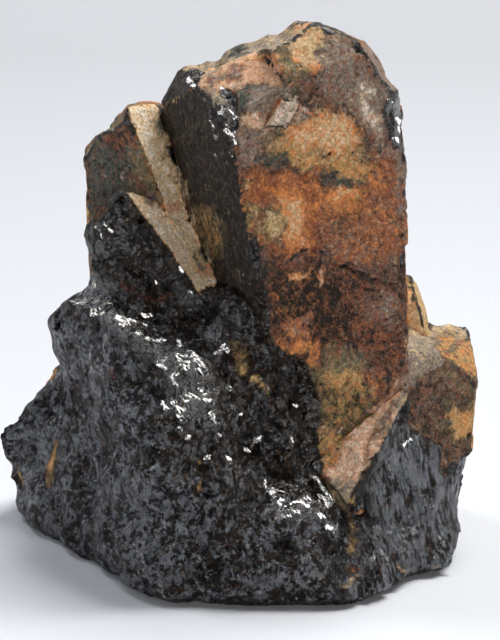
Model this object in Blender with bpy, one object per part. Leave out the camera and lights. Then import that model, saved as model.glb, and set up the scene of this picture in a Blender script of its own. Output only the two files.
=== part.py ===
"""A hand-sized aeschynite-(Y) specimen: tabular crystals standing in parallel on a mass of broken, glassy ore.

The whole specimen grew as one piece, so it is one solid. X runs across it, Y away from the viewer and Z up.
Lengths are in millimetres up to the last step, which scales the solid to metres and stands it on the origin.
"""

import math

import bmesh
import bpy
from mathutils import Euler, Matrix, Vector, noise

MM = 0.001

# Broken ore: the grain of its solid, and the hollows that a blow leaves in it, as (spacing, depth).
ORE_GRAIN = 0.9
ORE_HOLLOWS = ((8.5, 2.2), (3.8, 1.25))
HOLLOW_MEAN = 0.5
ORE_KEPT = 0.55

# Picks one run of the hollows out of all the like ones, so that every build gives the same stone.
HOLLOW_SEED = 1796059187

# Crystals: worn edges, and the block that their faces are cut from.
EDGE_WEAR = 0.3
ROUGH_BLOCK = 140.0

# The table that the specimen stands on, and how much of each corner of a block lies under it.
TABLE_Z = 0.0
UNDER_TABLE = -4.0


def clear_scene():
    for obj in list(bpy.data.objects):
        bpy.data.objects.remove(obj)


def finish_colour(name, colour, roughness):
    """A plain Principled material, its colour in linear light."""
    material = bpy.data.materials.new(name)
    material.use_nodes = True
    shader = material.node_tree.nodes["Principled BSDF"]
    shader.inputs["Base Color"].default_value = (*colour, 1.0)
    shader.inputs["Roughness"].default_value = roughness
    return material


def add_object(name, bm):
    """Closes the bmesh into a new object of the scene."""
    mesh = bpy.data.meshes.new(name)
    bm.to_mesh(mesh)
    bm.free()
    obj = bpy.data.objects.new(name, mesh)
    bpy.context.scene.collection.objects.link(obj)
    return obj


def looking(azimuth, tilt):
    """The direction a face looks in: azimuth from the viewer towards +X, tilt above the horizon, in degrees."""
    turn, lift = math.radians(azimuth), math.radians(tilt)
    return Vector((math.sin(turn) * math.cos(lift), -math.cos(turn) * math.cos(lift), math.sin(lift)))


def crystal(name, faces):
    """A flat-faced crystal. Each face is (azimuth, tilt, a point that it passes through)."""
    bm = bmesh.new()
    bmesh.ops.create_cube(bm, size=ROUGH_BLOCK)
    for azimuth, tilt, point in faces:
        cut = bmesh.ops.bisect_plane(
            bm,
            geom=bm.verts[:] + bm.edges[:] + bm.faces[:],
            plane_co=Vector(point),
            plane_no=looking(azimuth, tilt),
            clear_outer=True,
        )
        rim = [item for item in cut["geom_cut"] if isinstance(item, bmesh.types.BMEdge)]
        if rim:
            bmesh.ops.contextual_create(bm, geom=rim)
    bmesh.ops.bevel(
        bm,
        geom=bm.edges[:],
        offset=EDGE_WEAR,
        segments=1,
        profile=0.5,
        affect="EDGES",
        clamp_overlap=True,
        material=-1,
    )
    bmesh.ops.recalc_face_normals(bm, faces=bm.faces[:])
    return add_object(name, bm)


def lump(name, corners):
    """A broken block: the tight skin around its corners."""
    bm = bmesh.new()
    for corner in corners:
        bmesh.ops.create_vert(bm, co=corner)
    made = bmesh.ops.convex_hull(bm, input=bm.verts[:])
    bmesh.ops.delete(bm, geom=[v for v in made["geom_interior"] if isinstance(v, bmesh.types.BMVert)])
    bmesh.ops.recalc_face_normals(bm, faces=bm.faces[:])
    return add_object(name, bm)


def scoop(name, middle, radii, turn=(0.0, 0.0, 0.0)):
    """The smooth bowl that a chip leaves: a turned ellipsoid to cut away, its turn in degrees."""
    bm = bmesh.new()
    angles = [math.radians(angle) for angle in turn]
    place = Matrix.LocRotScale(Vector(middle), Euler(angles), Vector(radii))
    bmesh.ops.create_icosphere(bm, subdivisions=3, radius=1.0, matrix=place)
    return add_object(name, bm)


def apply_modifiers(obj):
    graph = bpy.context.evaluated_depsgraph_get()
    mesh = bpy.data.meshes.new_from_object(obj.evaluated_get(graph))
    obj.modifiers.clear()
    obj.data = mesh


def combine(base, others, operation):
    """Joins the other objects to the base, or cuts them from it, and removes them."""
    for other in others:
        boolean = base.modifiers.new(other.name, "BOOLEAN")
        boolean.object = other
        boolean.operation = operation
        apply_modifiers(base)
        bpy.data.objects.remove(other)
    return base


def hollowed(point):
    """How far the ore's surface is pushed out at a point: low inside each hollow, high on the ridges between."""
    push = 0.0
    for spacing, depth in ORE_HOLLOWS:
        warped = point / spacing + 0.35 * noise.noise_vector(point / spacing)
        nearest = noise.voronoi(warped)[0][0]
        push += depth * (nearest - HOLLOW_MEAN)
    return push


def even_out(obj):
    """Remakes the mesh of a solid in even cells."""
    remesh = obj.modifiers.new("grain", "REMESH")
    remesh.mode = "VOXEL"
    remesh.voxel_size = ORE_GRAIN
    apply_modifiers(obj)


def break_surface(ore):
    """Breaks the surface of the ore into shell-like hollows, then keeps the faces that carry its shape."""
    even_out(ore)
    bm = bmesh.new()
    bm.from_mesh(ore.data)
    bm.normal_update()
    moves = [vert.normal * hollowed(vert.co) for vert in bm.verts]
    for vert, move in zip(bm.verts, moves):
        vert.co += move
    bm.to_mesh(ore.data)
    bm.free()
    even_out(ore)
    decimate = ore.modifiers.new("facets", "DECIMATE")
    decimate.ratio = ORE_KEPT
    apply_modifiers(ore)


def ore_lumps():
    """The broken mass below the crystals, block by block."""
    low = UNDER_TABLE
    return [
        lump("front_left", [
            (-20.3, 4.0, 28.0), (-14.9, -4.0, 29.8), (-9.5, -9.0, 28.3), (-4.7, -12.0, 24.5),
            (-22.1, 7.0, 24.5), (-21.5, 8.0, 15.0), (-2.5, -14.5, 14.0), (-10.5, -14.5, 14.0),
            (-18.5, 4.0, 2.5), (-14.0, -4.5, 2.0), (-9.5, -10.0, 1.5), (-4.0, -13.6, 1.0), (2.0, -14.6, 1.0),
            (-17.0, 5.0, low), (-12.0, -3.0, low), (-2.0, -12.0, low), (6.0, 8.0, low),
            (-16.0, 14.0, 26.0), (-18.0, 12.0, low), (0.0, -4.0, 24.0),
        ]),
        lump("left_wing", [
            (-28.5, 11.5, 10.0), (-28.2, 12.0, 7.4), (-26.4, 11.5, 2.6), (-21.0, 7.5, 17.5), (-18.0, 4.5, 1.5),
            (-17.0, 14.0, 21.0), (-23.0, 17.5, 9.0), (-21.0, 15.0, low), (-10.0, 4.0, low), (-8.0, 12.0, 18.0),
        ]),
        lump("bottom", [
            (-8.0, -12.0, 8.0), (-1.0, -14.5, 9.0), (4.6, -14.0, 11.2), (8.6, -12.8, 9.2),
            (-1.0, -15.3, 1.5), (6.0, -15.4, 1.5), (12.0, -13.5, 1.5), (15.0, -10.0, 1.5),
            (0.0, -12.5, low), (11.0, -11.0, low), (-6.0, 8.0, low), (16.0, 4.0, low), (8.0, 0.0, 12.0),
        ]),
        lump("right_lump", [
            (15.4, -6.5, 16.6), (13.2, -8.8, 13.0), (12.2, -11.3, 9.0), (13.2, -12.4, 3.0),
            (23.4, 2.5, 11.3), (20.2, -2.0, 13.2), (22.2, 1.0, 5.0), (22.7, 0.0, 2.4), (20.4, -4.0, 1.0),
            (15.5, -10.0, 1.0), (18.0, -3.0, low), (13.5, -9.0, low), (18.5, 13.0, low), (22.8, 10.0, 11.0),
            (21.0, 14.0, 10.0), (14.0, 10.0, 18.0),
        ]),
        lump("core", [
            (-4.8, -4.0, 31.5), (0.8, -7.8, 30.5), (3.4, -8.3, 21.5), (5.8, -8.8, 13.0), (11.0, -6.0, 8.0),
            (-16.0, 8.0, 30.0), (12.0, 8.0, 28.0), (14.0, 12.0, 14.0), (-14.0, 13.0, 12.0),
            (16.0, 8.0, low), (-12.0, 12.0, low), (-6.0, -9.0, 12.0), (8.0, -8.0, low),
        ]),
        lump("rear", [
            (-24.0, 14.5, 9.0), (-18.0, 18.5, 10.0), (-6.0, 19.6, 7.0), (6.0, 19.0, 11.0), (14.0, 18.0, 8.0),
            (20.0, 13.0, 7.0), (-22.0, 15.0, 1.5), (-10.0, 18.6, 1.5), (8.0, 18.0, 1.5), (18.0, 14.0, 2.0),
            (-18.0, 14.0, low), (-6.0, 16.0, low), (10.0, 15.0, low), (16.0, 10.0, low), (-20.0, 6.0, low),
            (-8.0, 10.0, 22.0), (12.0, 10.0, 20.0),
        ]),
        lump("left_wedge", [
            (-13.6, 0.2, 40.6), (-17.2, 6.0, 37.6), (-17.6, 5.0, 30.0), (-18.2, 3.0, 27.0),
            (-5.6, -3.5, 31.4), (-5.0, -5.0, 26.0), (-15.0, 13.0, 36.0), (-9.0, 6.0, 37.0), (-15.0, 14.0, 26.0),
        ]),
    ]


def crystals():
    """The crystals, each named for its place."""
    return [
        crystal("tall_crystal", [
            (18, 6, (0.0, -7.4, 40.0)),
            (-58, -6, (-0.3, -7.4, 40.0)),
            (98, 0, (16.6, -1.0, 40.0)),
            (198, -6, (7.0, 12.0, 40.0)),
            (88, 14, (16.4, -1.0, 46.0)),
            (96, 38, (14.6, 0.0, 52.6)),
            (112, 62, (10.6, 2.0, 56.8)),
            (12, 44, (7.0, -2.6, 56.2)),
            (-82, 30, (-7.3, 3.0, 51.4)),
            (-85, 64, (1.3, 4.0, 56.8)),
            (195, 40, (5.0, 7.0, 57.5)),
            (0, -90, (0.0, 0.0, 8.0)),
            (-100, 0, (-10.5, 8.0, 40.0)),
        ]),
        crystal("left_blade", [
            (-47, -6, (-13.1, 4.0, 48.8)),
            (56, 27, (-13.1, 4.0, 48.8)),
            (-95, 50, (-14.3, 5.0, 46.8)),
            (-90, 28, (-16.8, 9.0, 43.6)),
            (-88, -2, (-17.8, 12.0, 40.0)),
            (180, 78, (-11.0, 5.0, 48.2)),
            (165, 5, (-12.0, 14.0, 40.0)),
            (0, -90, (0.0, 0.0, 6.0)),
        ]),
        crystal("left_front_blade", [
            (-30, -3, (-13.3, 0.3, 41.2)),
            (51, 40, (-13.3, 0.3, 41.2)),
            (-80, 30, (-13.3, 0.3, 41.2)),
            (170, 55, (-13.3, 0.8, 41.0)),
            (150, 5, (-10.0, 10.0, 36.0)),
            (0, -90, (0.0, 0.0, 16.0)),
            (-90, 0, (-16.6, 8.0, 34.0)),
        ]),
        crystal("right_crystal", [
            (26, 12, (20.6, -0.8, 13.8)),
            (84, 76, (20.0, 3.0, 22.6)),
            (95, -6, (24.8, 5.0, 20.6)),
            (75, 45, (24.6, 5.0, 20.0)),
            (30, 50, (19.0, -0.6, 22.0)),
            (185, -4, (20.0, 13.0, 18.0)),
            (70, -42, (23.6, 4.0, 9.4)),
            (0, -90, (0.0, 0.0, 4.0)),
            (-90, 0, (6.0, 0.0, 12.0)),
        ]),
        lump("lower_ledge", [
            (16.5, -4.8, 20.6), (7.0, -8.8, 13.4), (10.2, -11.8, 10.4), (14.6, -8.4, 16.4), (17.2, -4.0, 19.6),
            (9.6, -7.6, 15.0), (15.0, 2.0, 18.0), (15.0, 2.0, 8.0), (9.0, -2.0, 8.0), (11.0, -10.0, 7.0),
            (17.0, -4.0, 12.0),
        ]),
        lump("raised_flake", [
            (1.7, -6.8, 50.0), (3.4, -6.3, 52.6), (5.4, -5.7, 52.4), (4.0, -6.1, 49.8),
            (1.7, -3.0, 50.0), (3.4, -3.0, 52.6), (5.4, -3.0, 52.4), (4.0, -3.0, 49.8),
        ]),
        crystal("rear_right_crystal", [
            (20, 0, (17.0, 7.0, 26.0)),
            (85, 20, (18.0, 8.0, 27.4)),
            (95, 0, (21.0, 12.0, 14.0)),
            (30, 60, (17.0, 9.0, 27.6)),
            (202, 4, (12.0, 17.0, 16.0)),
            (180, 50, (12.0, 14.0, 26.0)),
            (150, 8, (19.0, 14.6, 14.0)),
            (0, -90, (0.0, 0.0, 3.0)),
            (-90, 0, (4.0, 0.0, 12.0)),
        ]),
        crystal("rear_middle_crystal", [
            (190, 2, (2.0, 18.4, 20.0)),
            (262, 5, (-6.5, 14.0, 20.0)),
            (108, 3, (8.0, 14.0, 20.0)),
            (182, 56, (1.0, 14.5, 36.0)),
            (255, 48, (-4.5, 12.0, 36.0)),
            (0, -90, (0.0, 0.0, 6.0)),
            (0, 0, (0.0, 6.0, 12.0)),
        ]),
        crystal("rear_left_crystal", [
            (-62, 36, (-24.0, 13.0, 12.2)),
            (-90, -4, (-27.0, 15.0, 10.0)),
            (-60, 0, (-25.8, 14.6, 8.0)),
            (212, 8, (-20.0, 16.6, 12.0)),
            (186, 30, (-10.0, 17.6, 18.0)),
            (150, 14, (-8.0, 17.0, 14.0)),
            (225, 50, (-16.0, 14.0, 26.0)),
            (0, -90, (0.0, 0.0, 5.0)),
            (90, 0, (2.0, 0.0, 12.0)),
            (0, 0, (0.0, 6.0, 12.0)),
            (-20, 80, (-10.0, 12.0, 30.0)),
        ]),
    ]


def hollows():
    """What has broken away: the step on top of the tall crystal, chips on its edges, and the valley beside it."""
    return [
        crystal("top_step", [
            (152, -58, (0.5, -3.0, 54.0)),
            (115, 5, (3.6, -4.0, 53.6)),
        ]),
        scoop("left_edge_chip", (-4.6, -6.6, 51.6), (2.7, 2.3, 4.2), (0.0, -12.0, -20.0)),
        scoop("right_shoulder_chip", (18.0, -1.6, 49.0), (2.6, 3.4, 4.6)),
        scoop("valley", (1.2, -15.6, 20.5), (4.2, 5.2, 8.0), (0.0, -22.0, 0.0)),
    ]


def cut_base(ore):
    """Cuts the underside flat."""
    bm = bmesh.new()
    side = ROUGH_BLOCK
    bmesh.ops.create_cube(bm, size=side, matrix=Matrix.Translation((0.0, 0.0, TABLE_Z - side / 2)))
    combine(ore, [add_object("table", bm)], "DIFFERENCE")


def to_metres(specimen):
    """Scales to metres and moves the middle of the box's base to the origin."""
    corners = [vert.co for vert in specimen.data.vertices]
    middle_x = (min(c.x for c in corners) + max(c.x for c in corners)) / 2
    middle_y = (min(c.y for c in corners) + max(c.y for c in corners)) / 2
    specimen.data.transform(Matrix.Scale(MM, 4) @ Matrix.Translation((-middle_x, -middle_y, -TABLE_Z)))
    print("specimen moved by", middle_x, middle_y)


def main():
    clear_scene()
    noise.seed_set(HOLLOW_SEED)
    lumps = ore_lumps()
    specimen = combine(lumps[0], lumps[1:], "UNION")
    break_surface(specimen)
    cut_base(specimen)
    combine(specimen, crystals(), "UNION")
    combine(specimen, hollows(), "DIFFERENCE")
    to_metres(specimen)
    specimen.name = "specimen"
    specimen.data.name = "specimen"
    specimen.data.materials.clear()
    specimen.data.materials.append(finish_colour("aeschynite", (0.05, 0.035, 0.025), 0.35))
    specimen.data.shade_smooth()
    specimen.data.set_sharp_from_angle(angle=math.radians(25.0))
    print("triangles", sum(len(p.vertices) - 2 for p in specimen.data.polygons))


main()
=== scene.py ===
# %% [markdown]
# # A specimen of aeschynite-(Y)
# The real thing is one piece of ore, about 59 mm tall. Flat, tabular crystals stand side by side on a
# mass that a hammer broke. The broken places are black and glassy. The old crystal faces carry a thin,
# dull crust of rust, ochre and tan. The plan of this lesson follows that split: one fine skin is grown
# over the plain solid, it is chipped where the ore is broken and kept flat where a crystal face is, and
# then it is stained like the real one.

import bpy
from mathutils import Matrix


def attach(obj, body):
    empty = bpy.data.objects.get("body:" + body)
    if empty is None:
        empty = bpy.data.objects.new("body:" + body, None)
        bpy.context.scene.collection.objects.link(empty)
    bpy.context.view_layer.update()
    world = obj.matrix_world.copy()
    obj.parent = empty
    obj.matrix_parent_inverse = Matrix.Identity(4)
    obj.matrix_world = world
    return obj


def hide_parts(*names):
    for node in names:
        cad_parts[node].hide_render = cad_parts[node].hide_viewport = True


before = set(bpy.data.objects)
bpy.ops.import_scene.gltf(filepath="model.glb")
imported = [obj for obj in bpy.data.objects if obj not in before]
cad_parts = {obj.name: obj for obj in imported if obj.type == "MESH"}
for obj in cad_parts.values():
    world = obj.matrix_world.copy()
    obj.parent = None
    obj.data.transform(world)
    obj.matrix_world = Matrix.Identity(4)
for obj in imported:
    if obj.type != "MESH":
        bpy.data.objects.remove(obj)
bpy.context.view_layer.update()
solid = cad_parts["specimen"]

# %% [markdown]
# ## The camera
# The photograph looks slightly down on the specimen with a long lens, so upright edges stay nearly
# parallel. The camera is described by where it aims, how far away it is, and how many pixels of the
# picture one millimetre takes at that distance. The same numbers later tell where a point of the picture
# lies on the stone.

# %% The camera
import math
import bpy
from mathutils import Vector

MM = 0.001
PICTURE_WIDTH, PICTURE_HEIGHT = 500, 640
SENSOR_MM = 36.0
AIM = Vector((1.75, -2.99, 26.7))
AIM_PIXEL = (PICTURE_WIDTH // 2, PICTURE_HEIGHT // 2)
EYE_DISTANCE = 420.0
EYE_LIFT = math.radians(18.0)
PIXELS_PER_MM = 9.3

focal_pixels = PIXELS_PER_MM * EYE_DISTANCE
sight = Vector((0.0, math.cos(EYE_LIFT), -math.sin(EYE_LIFT)))
picture_right = Vector((1.0, 0.0, 0.0))
picture_up = picture_right.cross(sight)
eye = AIM - EYE_DISTANCE * sight


def add_to_scene(name, data):
    thing = bpy.data.objects.new(name, data)
    bpy.context.scene.collection.objects.link(thing)
    return thing


def turn_towards(thing, place, target):
    """Puts a lamp or camera at a place, in millimetres, looking at a target."""
    thing.location = Vector(place) * MM
    look = (Vector(target) - Vector(place)).to_track_quat("-Z", "Y")
    thing.rotation_euler = look.to_euler()


lens = bpy.data.cameras.new("camera")
lens.sensor_width = SENSOR_MM
lens.lens = focal_pixels * SENSOR_MM / PICTURE_HEIGHT
lens.clip_start = 0.01
camera = add_to_scene("camera", lens)
turn_towards(camera, eye, AIM)
bpy.context.scene.camera = camera
print("lens, mm:", round(lens.lens, 1))

# %% [markdown]
# ## The studio
# The stone stands on a seamless white sweep: a floor that bends up into a wall. Two planes would show the
# line between them, so one strip is drawn back, lifted, and rounded at the bend. Its paper colour goes from
# nearly white in front of the stone to greyer further back: a painted shade for light falling off with
# distance.

# %% The sweep
import bmesh

SWEEP_HALF_WIDTH = 2200.0
SWEEP_FRONT, SWEEP_BACK, SWEEP_TOP = -1700.0, 1800.0, 2200.0
SWEEP_BEND = 700.0
PAPER_NEAR, PAPER_FAR = -30.0, 220.0


def srgb(code):
    """A hex colour as it is seen, turned into linear light."""
    parts = [int(code[i:i + 2], 16) / 255 for i in (1, 3, 5)]
    return [p / 12.92 if p <= 0.04045 else ((p + 0.055) / 1.055) ** 2.4 for p in parts]


def add_node(tree, kind, inputs=None, output=None, **settings):
    """Adds a node, sets its options and sockets, and gives one output, or else the node."""
    node = tree.nodes.new("ShaderNode" + kind)
    for key, value in settings.items():
        setattr(node, key, value)
    for key, value in (inputs or {}).items():
        if isinstance(value, bpy.types.NodeSocket):
            tree.links.new(value, node.inputs[key])
        else:
            node.inputs[key].default_value = value
    return node if output is None else node.outputs[output]


def new_material(name):
    material = bpy.data.materials.new(name)
    material.use_nodes = True
    return material, material.node_tree, material.node_tree.nodes["Principled BSDF"]


sweep_bm = bmesh.new()
edge_points = [(-SWEEP_HALF_WIDTH, SWEEP_FRONT, 0.0), (SWEEP_HALF_WIDTH, SWEEP_FRONT, 0.0)]
front_ends = [bmesh.ops.create_vert(sweep_bm, co=Vector(p) * MM)["vert"][0] for p in edge_points]
front_edge = sweep_bm.edges.new(front_ends)
for step in ((0.0, SWEEP_BACK - SWEEP_FRONT, 0.0), (0.0, 0.0, SWEEP_TOP)):
    drawn = bmesh.ops.extrude_edge_only(sweep_bm, edges=[front_edge])["geom"]
    new_ends = [item for item in drawn if isinstance(item, bmesh.types.BMVert)]
    bmesh.ops.translate(sweep_bm, verts=new_ends, vec=Vector(step) * MM)
    last_edge = front_edge
    front_edge = next(item for item in drawn if isinstance(item, bmesh.types.BMEdge))
bmesh.ops.bevel(
    sweep_bm, geom=[last_edge], offset=SWEEP_BEND * MM, segments=16, profile=0.5, affect="EDGES", material=-1
)
bmesh.ops.recalc_face_normals(sweep_bm, faces=sweep_bm.faces[:])
for face in sweep_bm.faces:
    face.smooth = True
sweep_mesh = bpy.data.meshes.new("sweep")
sweep_bm.to_mesh(sweep_mesh)
sweep_bm.free()
paper, paper_tree, paper_shader = new_material("matt_white_paper")
paper_place = add_node(paper_tree, "TexCoord", None, "Object")
paper_depth = add_node(paper_tree, "SeparateXYZ", {"Vector": paper_place}, "Y")
# Painted shade: the paper greys from front to back, standing in for the light falling off with distance.
paper_painted_falloff = add_node(paper_tree, "MapRange", {
    "Value": paper_depth, "From Min": PAPER_NEAR * MM, "From Max": PAPER_FAR * MM,
}, "Result")
paper_colour_painted_falloff = add_node(paper_tree, "Mix", {
    0: paper_painted_falloff, 6: (*srgb("#e2e4e8"), 1.0), 7: (*srgb("#b4b5b8"), 1.0),
}, 2, data_type="RGBA")
paper_tree.links.new(paper_colour_painted_falloff, paper_shader.inputs["Base Color"])
paper_shader.inputs["Roughness"].default_value = 0.9
paper_shader.inputs["Specular IOR Level"].default_value = 0.1
sweep_mesh.materials.append(paper)
sweep = add_to_scene("sweep", sweep_mesh)
print("sweep faces:", len(sweep_mesh.polygons))

# %% [markdown]
# ## The lamps
# A glassy stone shows what it mirrors, so where the bright things stand decides most of its look. There
# are six soft lamps: a large one overhead with a small one beside it for the white glints, three for the
# rims at the back and the left, and one low in front for the places that the overhead lamp can't see. A
# dim room, a little brighter above, fills the rest. Each lamp is given by how bright it looks, so it can
# be made larger without looking brighter.

# %% The lamps and the room
bpy.context.scene.view_settings.view_transform = "Standard"


def soft_lamp(name, place, target, size, radiance, colour):
    """A rectangular lamp, its size in millimetres, that looks as bright as the given radiance."""
    lamp = bpy.data.lights.new(name, "AREA")
    lamp.shape = "RECTANGLE"
    lamp.size, lamp.size_y = size[0] * MM, size[1] * MM
    lamp.energy = radiance * math.pi * lamp.size * lamp.size_y
    lamp.color = srgb(colour)
    turn_towards(add_to_scene(name, lamp), place, target)


OVERHEAD, FRONT_FILL = (350, 330, 1070), (360, -1330, 330)

soft_lamp("overhead_softbox", OVERHEAD, (0, 0, 20), (640, 560), 11.6, "#ffffff")
soft_lamp("right_top_lamp", (620, 200, 870), (0, 0, 20), (260, 260), 12.0, "#ffffff")
soft_lamp("back_left_lamp", (-480, 300, 820), (0, 0, 30), (200, 300), 11.0, "#f8faff")
soft_lamp("back_strip", (-110, 1010, 470), (0, 0, 30), (600, 160), 8.0, "#fbfcff")
soft_lamp("left_window", (-970, 200, 430), (0, 0, 30), (150, 400), 9.0, "#e4eeff")
soft_lamp("front_fill", FRONT_FILL, (0, 0, 25), (390, 290), 13.7, "#fffcf8")

room = bpy.data.worlds.new("room")
room.use_nodes = True
bpy.context.scene.world = room
room_tree = room.node_tree
room_light = room_tree.nodes["Background"]
way = add_node(room_tree, "TexCoord", None, "Generated")
height = add_node(room_tree, "SeparateXYZ", {"Vector": way}, "Z")
lift = add_node(room_tree, "MapRange", {
    "Value": height, "From Min": -0.1, "From Max": 0.8, "To Min": 0.085, "To Max": 0.15,
}, "Result", interpolation_type="SMOOTHSTEP")
room_light.inputs["Color"].default_value = (*srgb("#e6e9ee"), 1.0)
room_tree.links.new(lift, room_light.inputs["Strength"])

# %% [markdown]
# ## Which faces are crystal
# The solid's crystal faces are large and flat, and its broken ore is a net of small facets. So the script
# joins neighbouring triangles that lie in one plane into patches. A large patch is a crystal face, the
# patch at height nought is the cut base, and everything else is broken ore. The solid's own mesh is loose
# triangles, so this is done on a merged copy.

# %% Flat patches of the solid
from mathutils.bvhtree import BVHTree

MERGE_DISTANCE = 1e-6
SAME_PLANE = math.radians(0.6)
NO_ANGLE = 9.0
LEAST_CRYSTAL_FACE = 3.5
LOOKS_DOWN, LOWEST = -0.99, 0.05

rough = bmesh.new()
rough.from_mesh(solid.data)
bmesh.ops.remove_doubles(rough, verts=rough.verts, dist=MERGE_DISTANCE)
rough.faces.ensure_lookup_table()
rough.normal_update()


def flat_patches(bm):
    """Numbers each face by its patch, and gives the area of each patch in square millimetres."""
    number = [-1] * len(bm.faces)
    areas = []
    for start in bm.faces:
        if number[start.index] >= 0:
            continue
        number[start.index] = len(areas)
        waiting = [start]
        area = 0.0
        while waiting:
            face = waiting.pop()
            area += face.calc_area() / MM ** 2
            for edge in face.edges:
                for other in edge.link_faces:
                    if number[other.index] < 0 and other.normal.angle(start.normal, NO_ANGLE) < SAME_PLANE:
                        number[other.index] = number[start.index]
                        waiting.append(other)
        areas.append(area)
    return number, areas


patch_of, patch_area = flat_patches(rough)
rough_tree = BVHTree.FromBMesh(rough)
base_patches = {
    patch_of[face.index] for face in rough.faces
    if face.normal.z < LOOKS_DOWN and face.calc_center_median().z < LOWEST * MM
}
crystal_patches = {n for n, area in enumerate(patch_area) if area > LEAST_CRYSTAL_FACE} - base_patches
crystal_area = sum(patch_area[n] for n in crystal_patches)
print("crystal faces:", len(crystal_patches), "area, mm2:", round(crystal_area))

# %% [markdown]
# ## Pointing at the stone
# Much of this lesson points at places by the pixel at which the picture shows them. A line of sight
# through that pixel meets the stone at one point and in one face. Four flat faces are pointed out here
# first, three beside the triangular strip at the lower right and one on the left wing: the mass broke
# along them, so they count as ore.

# %% Lines of sight
import numpy as np

INWARDS = 0.99


def sight_line(px, py):
    """Where the line of sight at a pixel meets the stone; one just off its outline is moved inwards."""
    across, up = px - AIM_PIXEL[0], AIM_PIXEL[1] - py
    hit = None
    while hit is None:
        ray = sight * focal_pixels + picture_right * across + picture_up * up
        hit, _, face, _ = rough_tree.ray_cast(eye * MM, ray.normalized())
        across, up = across * INWARDS, up * INWARDS
    return np.array(hit) / MM, face


def on_stone(px, py):
    return sight_line(px, py)[0]


def seen_face(px, py):
    return sight_line(px, py)[1]


BROKEN_FLATS = [(379, 465), (361, 490), (401, 427), (50, 460)]
crystal_patches -= {patch_of[seen_face(px, py)] for px, py in BROKEN_FLATS}
print("crystal faces left:", len(crystal_patches))

# %% [markdown]
# ## The fine skin
# A stone is carved best on an even net of small faces, because every scar may then run in any direction.
# A sharp remesh of the copy makes that net and still puts points on the crystals' edges. Its cell is a
# third of a millimetre, about three pixels of the picture; everything finer is left to the material.

# %% The skin as an even net
SKIN_CELL = 0.348
NET_DEPTH = 8

skin_mesh = bpy.data.meshes.new("specimen_skin")
rough.to_mesh(skin_mesh)
skin = add_to_scene("specimen_skin", skin_mesh)
net = skin.modifiers.new("net", "REMESH")
net.mode = "SHARP"
net.octree_depth = NET_DEPTH
net.scale = max(skin.dimensions) / MM / (SKIN_CELL * 2 ** NET_DEPTH)
net.use_remove_disconnected = False
graph = bpy.context.evaluated_depsgraph_get()
netted = bpy.data.meshes.new_from_object(skin.evaluated_get(graph))
skin.modifiers.clear()
skin.data = netted
bpy.data.meshes.remove(skin_mesh)
netted.name = "specimen_skin"
skin_mesh = netted
triangle_count = sum(len(face.vertices) - 2 for face in skin_mesh.polygons)
print("skin points:", len(skin_mesh.vertices), "triangles:", triangle_count)

# %% [markdown]
# ## What each point of the skin knows
# The carving works on all points at once, so they are kept as arrays of numbers, in millimetres. Each
# point learns which patch of the plain solid lies under it, and from that how much it belongs to broken
# ore: 1 on the ore, 0 on a crystal face and on the base.

# %% The skin as arrays
from mathutils import noise
from mathutils.kdtree import KDTree

# The offsets of noise_vector come from a seed, which Blender takes from the clock where a script sets
# none. With a seed of its own, this script makes the same stone each time it runs.
NOISE_SEED = 7
noise.seed_set(NOISE_SEED)

point_count = len(skin_mesh.vertices)
points = np.empty(point_count * 3)
skin_mesh.vertices.foreach_get("co", points)
points = points.reshape(-1, 3) / MM
normals = np.empty(point_count * 3)
skin_mesh.vertex_normals.foreach_get("vector", normals)
normals = normals.reshape(-1, 3)
edges = np.empty(len(skin_mesh.edges) * 2, dtype=int)
skin_mesh.edges.foreach_get("vertices", edges)
edges = edges.reshape(-1, 2)
neighbours = np.bincount(edges.ravel(), minlength=point_count)


def spread(values, times):
    """Averages each point's value with those of its neighbours, the given number of times."""
    values = np.array(values, dtype=float)
    columns = values.reshape(point_count, -1)
    for _ in range(times):
        for c in range(columns.shape[1]):
            total = np.bincount(edges[:, 0], columns[edges[:, 1], c], point_count)
            total += np.bincount(edges[:, 1], columns[edges[:, 0], c], point_count)
            columns[:, c] = (columns[:, c] + total) / (1 + neighbours)
    return columns.reshape(values.shape)


def smooth_step(low, high, values):
    t = np.clip((values - low) / (high - low), 0.0, 1.0)
    return t * t * (3 - 2 * t)


patch_at = np.zeros(point_count, dtype=int)
plane_normals = np.zeros((point_count, 3))
for i, point in enumerate(points):
    _, normal, face, _ = rough_tree.find_nearest(Vector(point) * MM)
    plane_normals[i] = normal
    patch_at[i] = patch_of[face]
is_base = np.isin(patch_at, list(base_patches)).astype(float)
is_crystal = np.isin(patch_at, list(crystal_patches)).astype(float)
broken = 1.0 - np.clip(spread(is_crystal + is_base, 1), 0.0, 1.0)
even_normals = spread(normals, 2)
even_normals /= np.linalg.norm(even_normals, axis=1)[:, None]
print("share of broken surface:", round(float(broken.mean()), 2))

# %% [markdown]
# ## The crystals' rims
# Rims are where a crystal is knocked and where its crust wears off first. So each point also learns how
# far it is from the nearest edge between two faces of the solid. The edges are sampled every quarter of a
# millimetre and kept in a search tree.

# %% How far every point is from a rim
RIM_STEP = 0.25
LEAST_RIM_ANGLE = math.radians(28.0)

rim_points = []
for edge in rough.edges:
    joined = [patch_of[face.index] for face in edge.link_faces]
    beside_crystal = len(set(joined)) == 2 and bool(crystal_patches & set(joined))
    if beside_crystal and edge.calc_face_angle(0.0) > LEAST_RIM_ANGLE:
        start, end = (vert.co / MM for vert in edge.verts)
        steps = max(1, round((end - start).length / RIM_STEP))
        rim_points += [start.lerp(end, step / steps) for step in range(steps + 1)]
rims = KDTree(len(rim_points))
for i, point in enumerate(rim_points):
    rims.insert(point, i)
rims.balance()
rim_gap = np.array([rims.find(Vector(point))[2] for point in points])
print("rim samples:", len(rim_points), "points within 1 mm of a rim:", int((rim_gap < 1.0).sum()))
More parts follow.
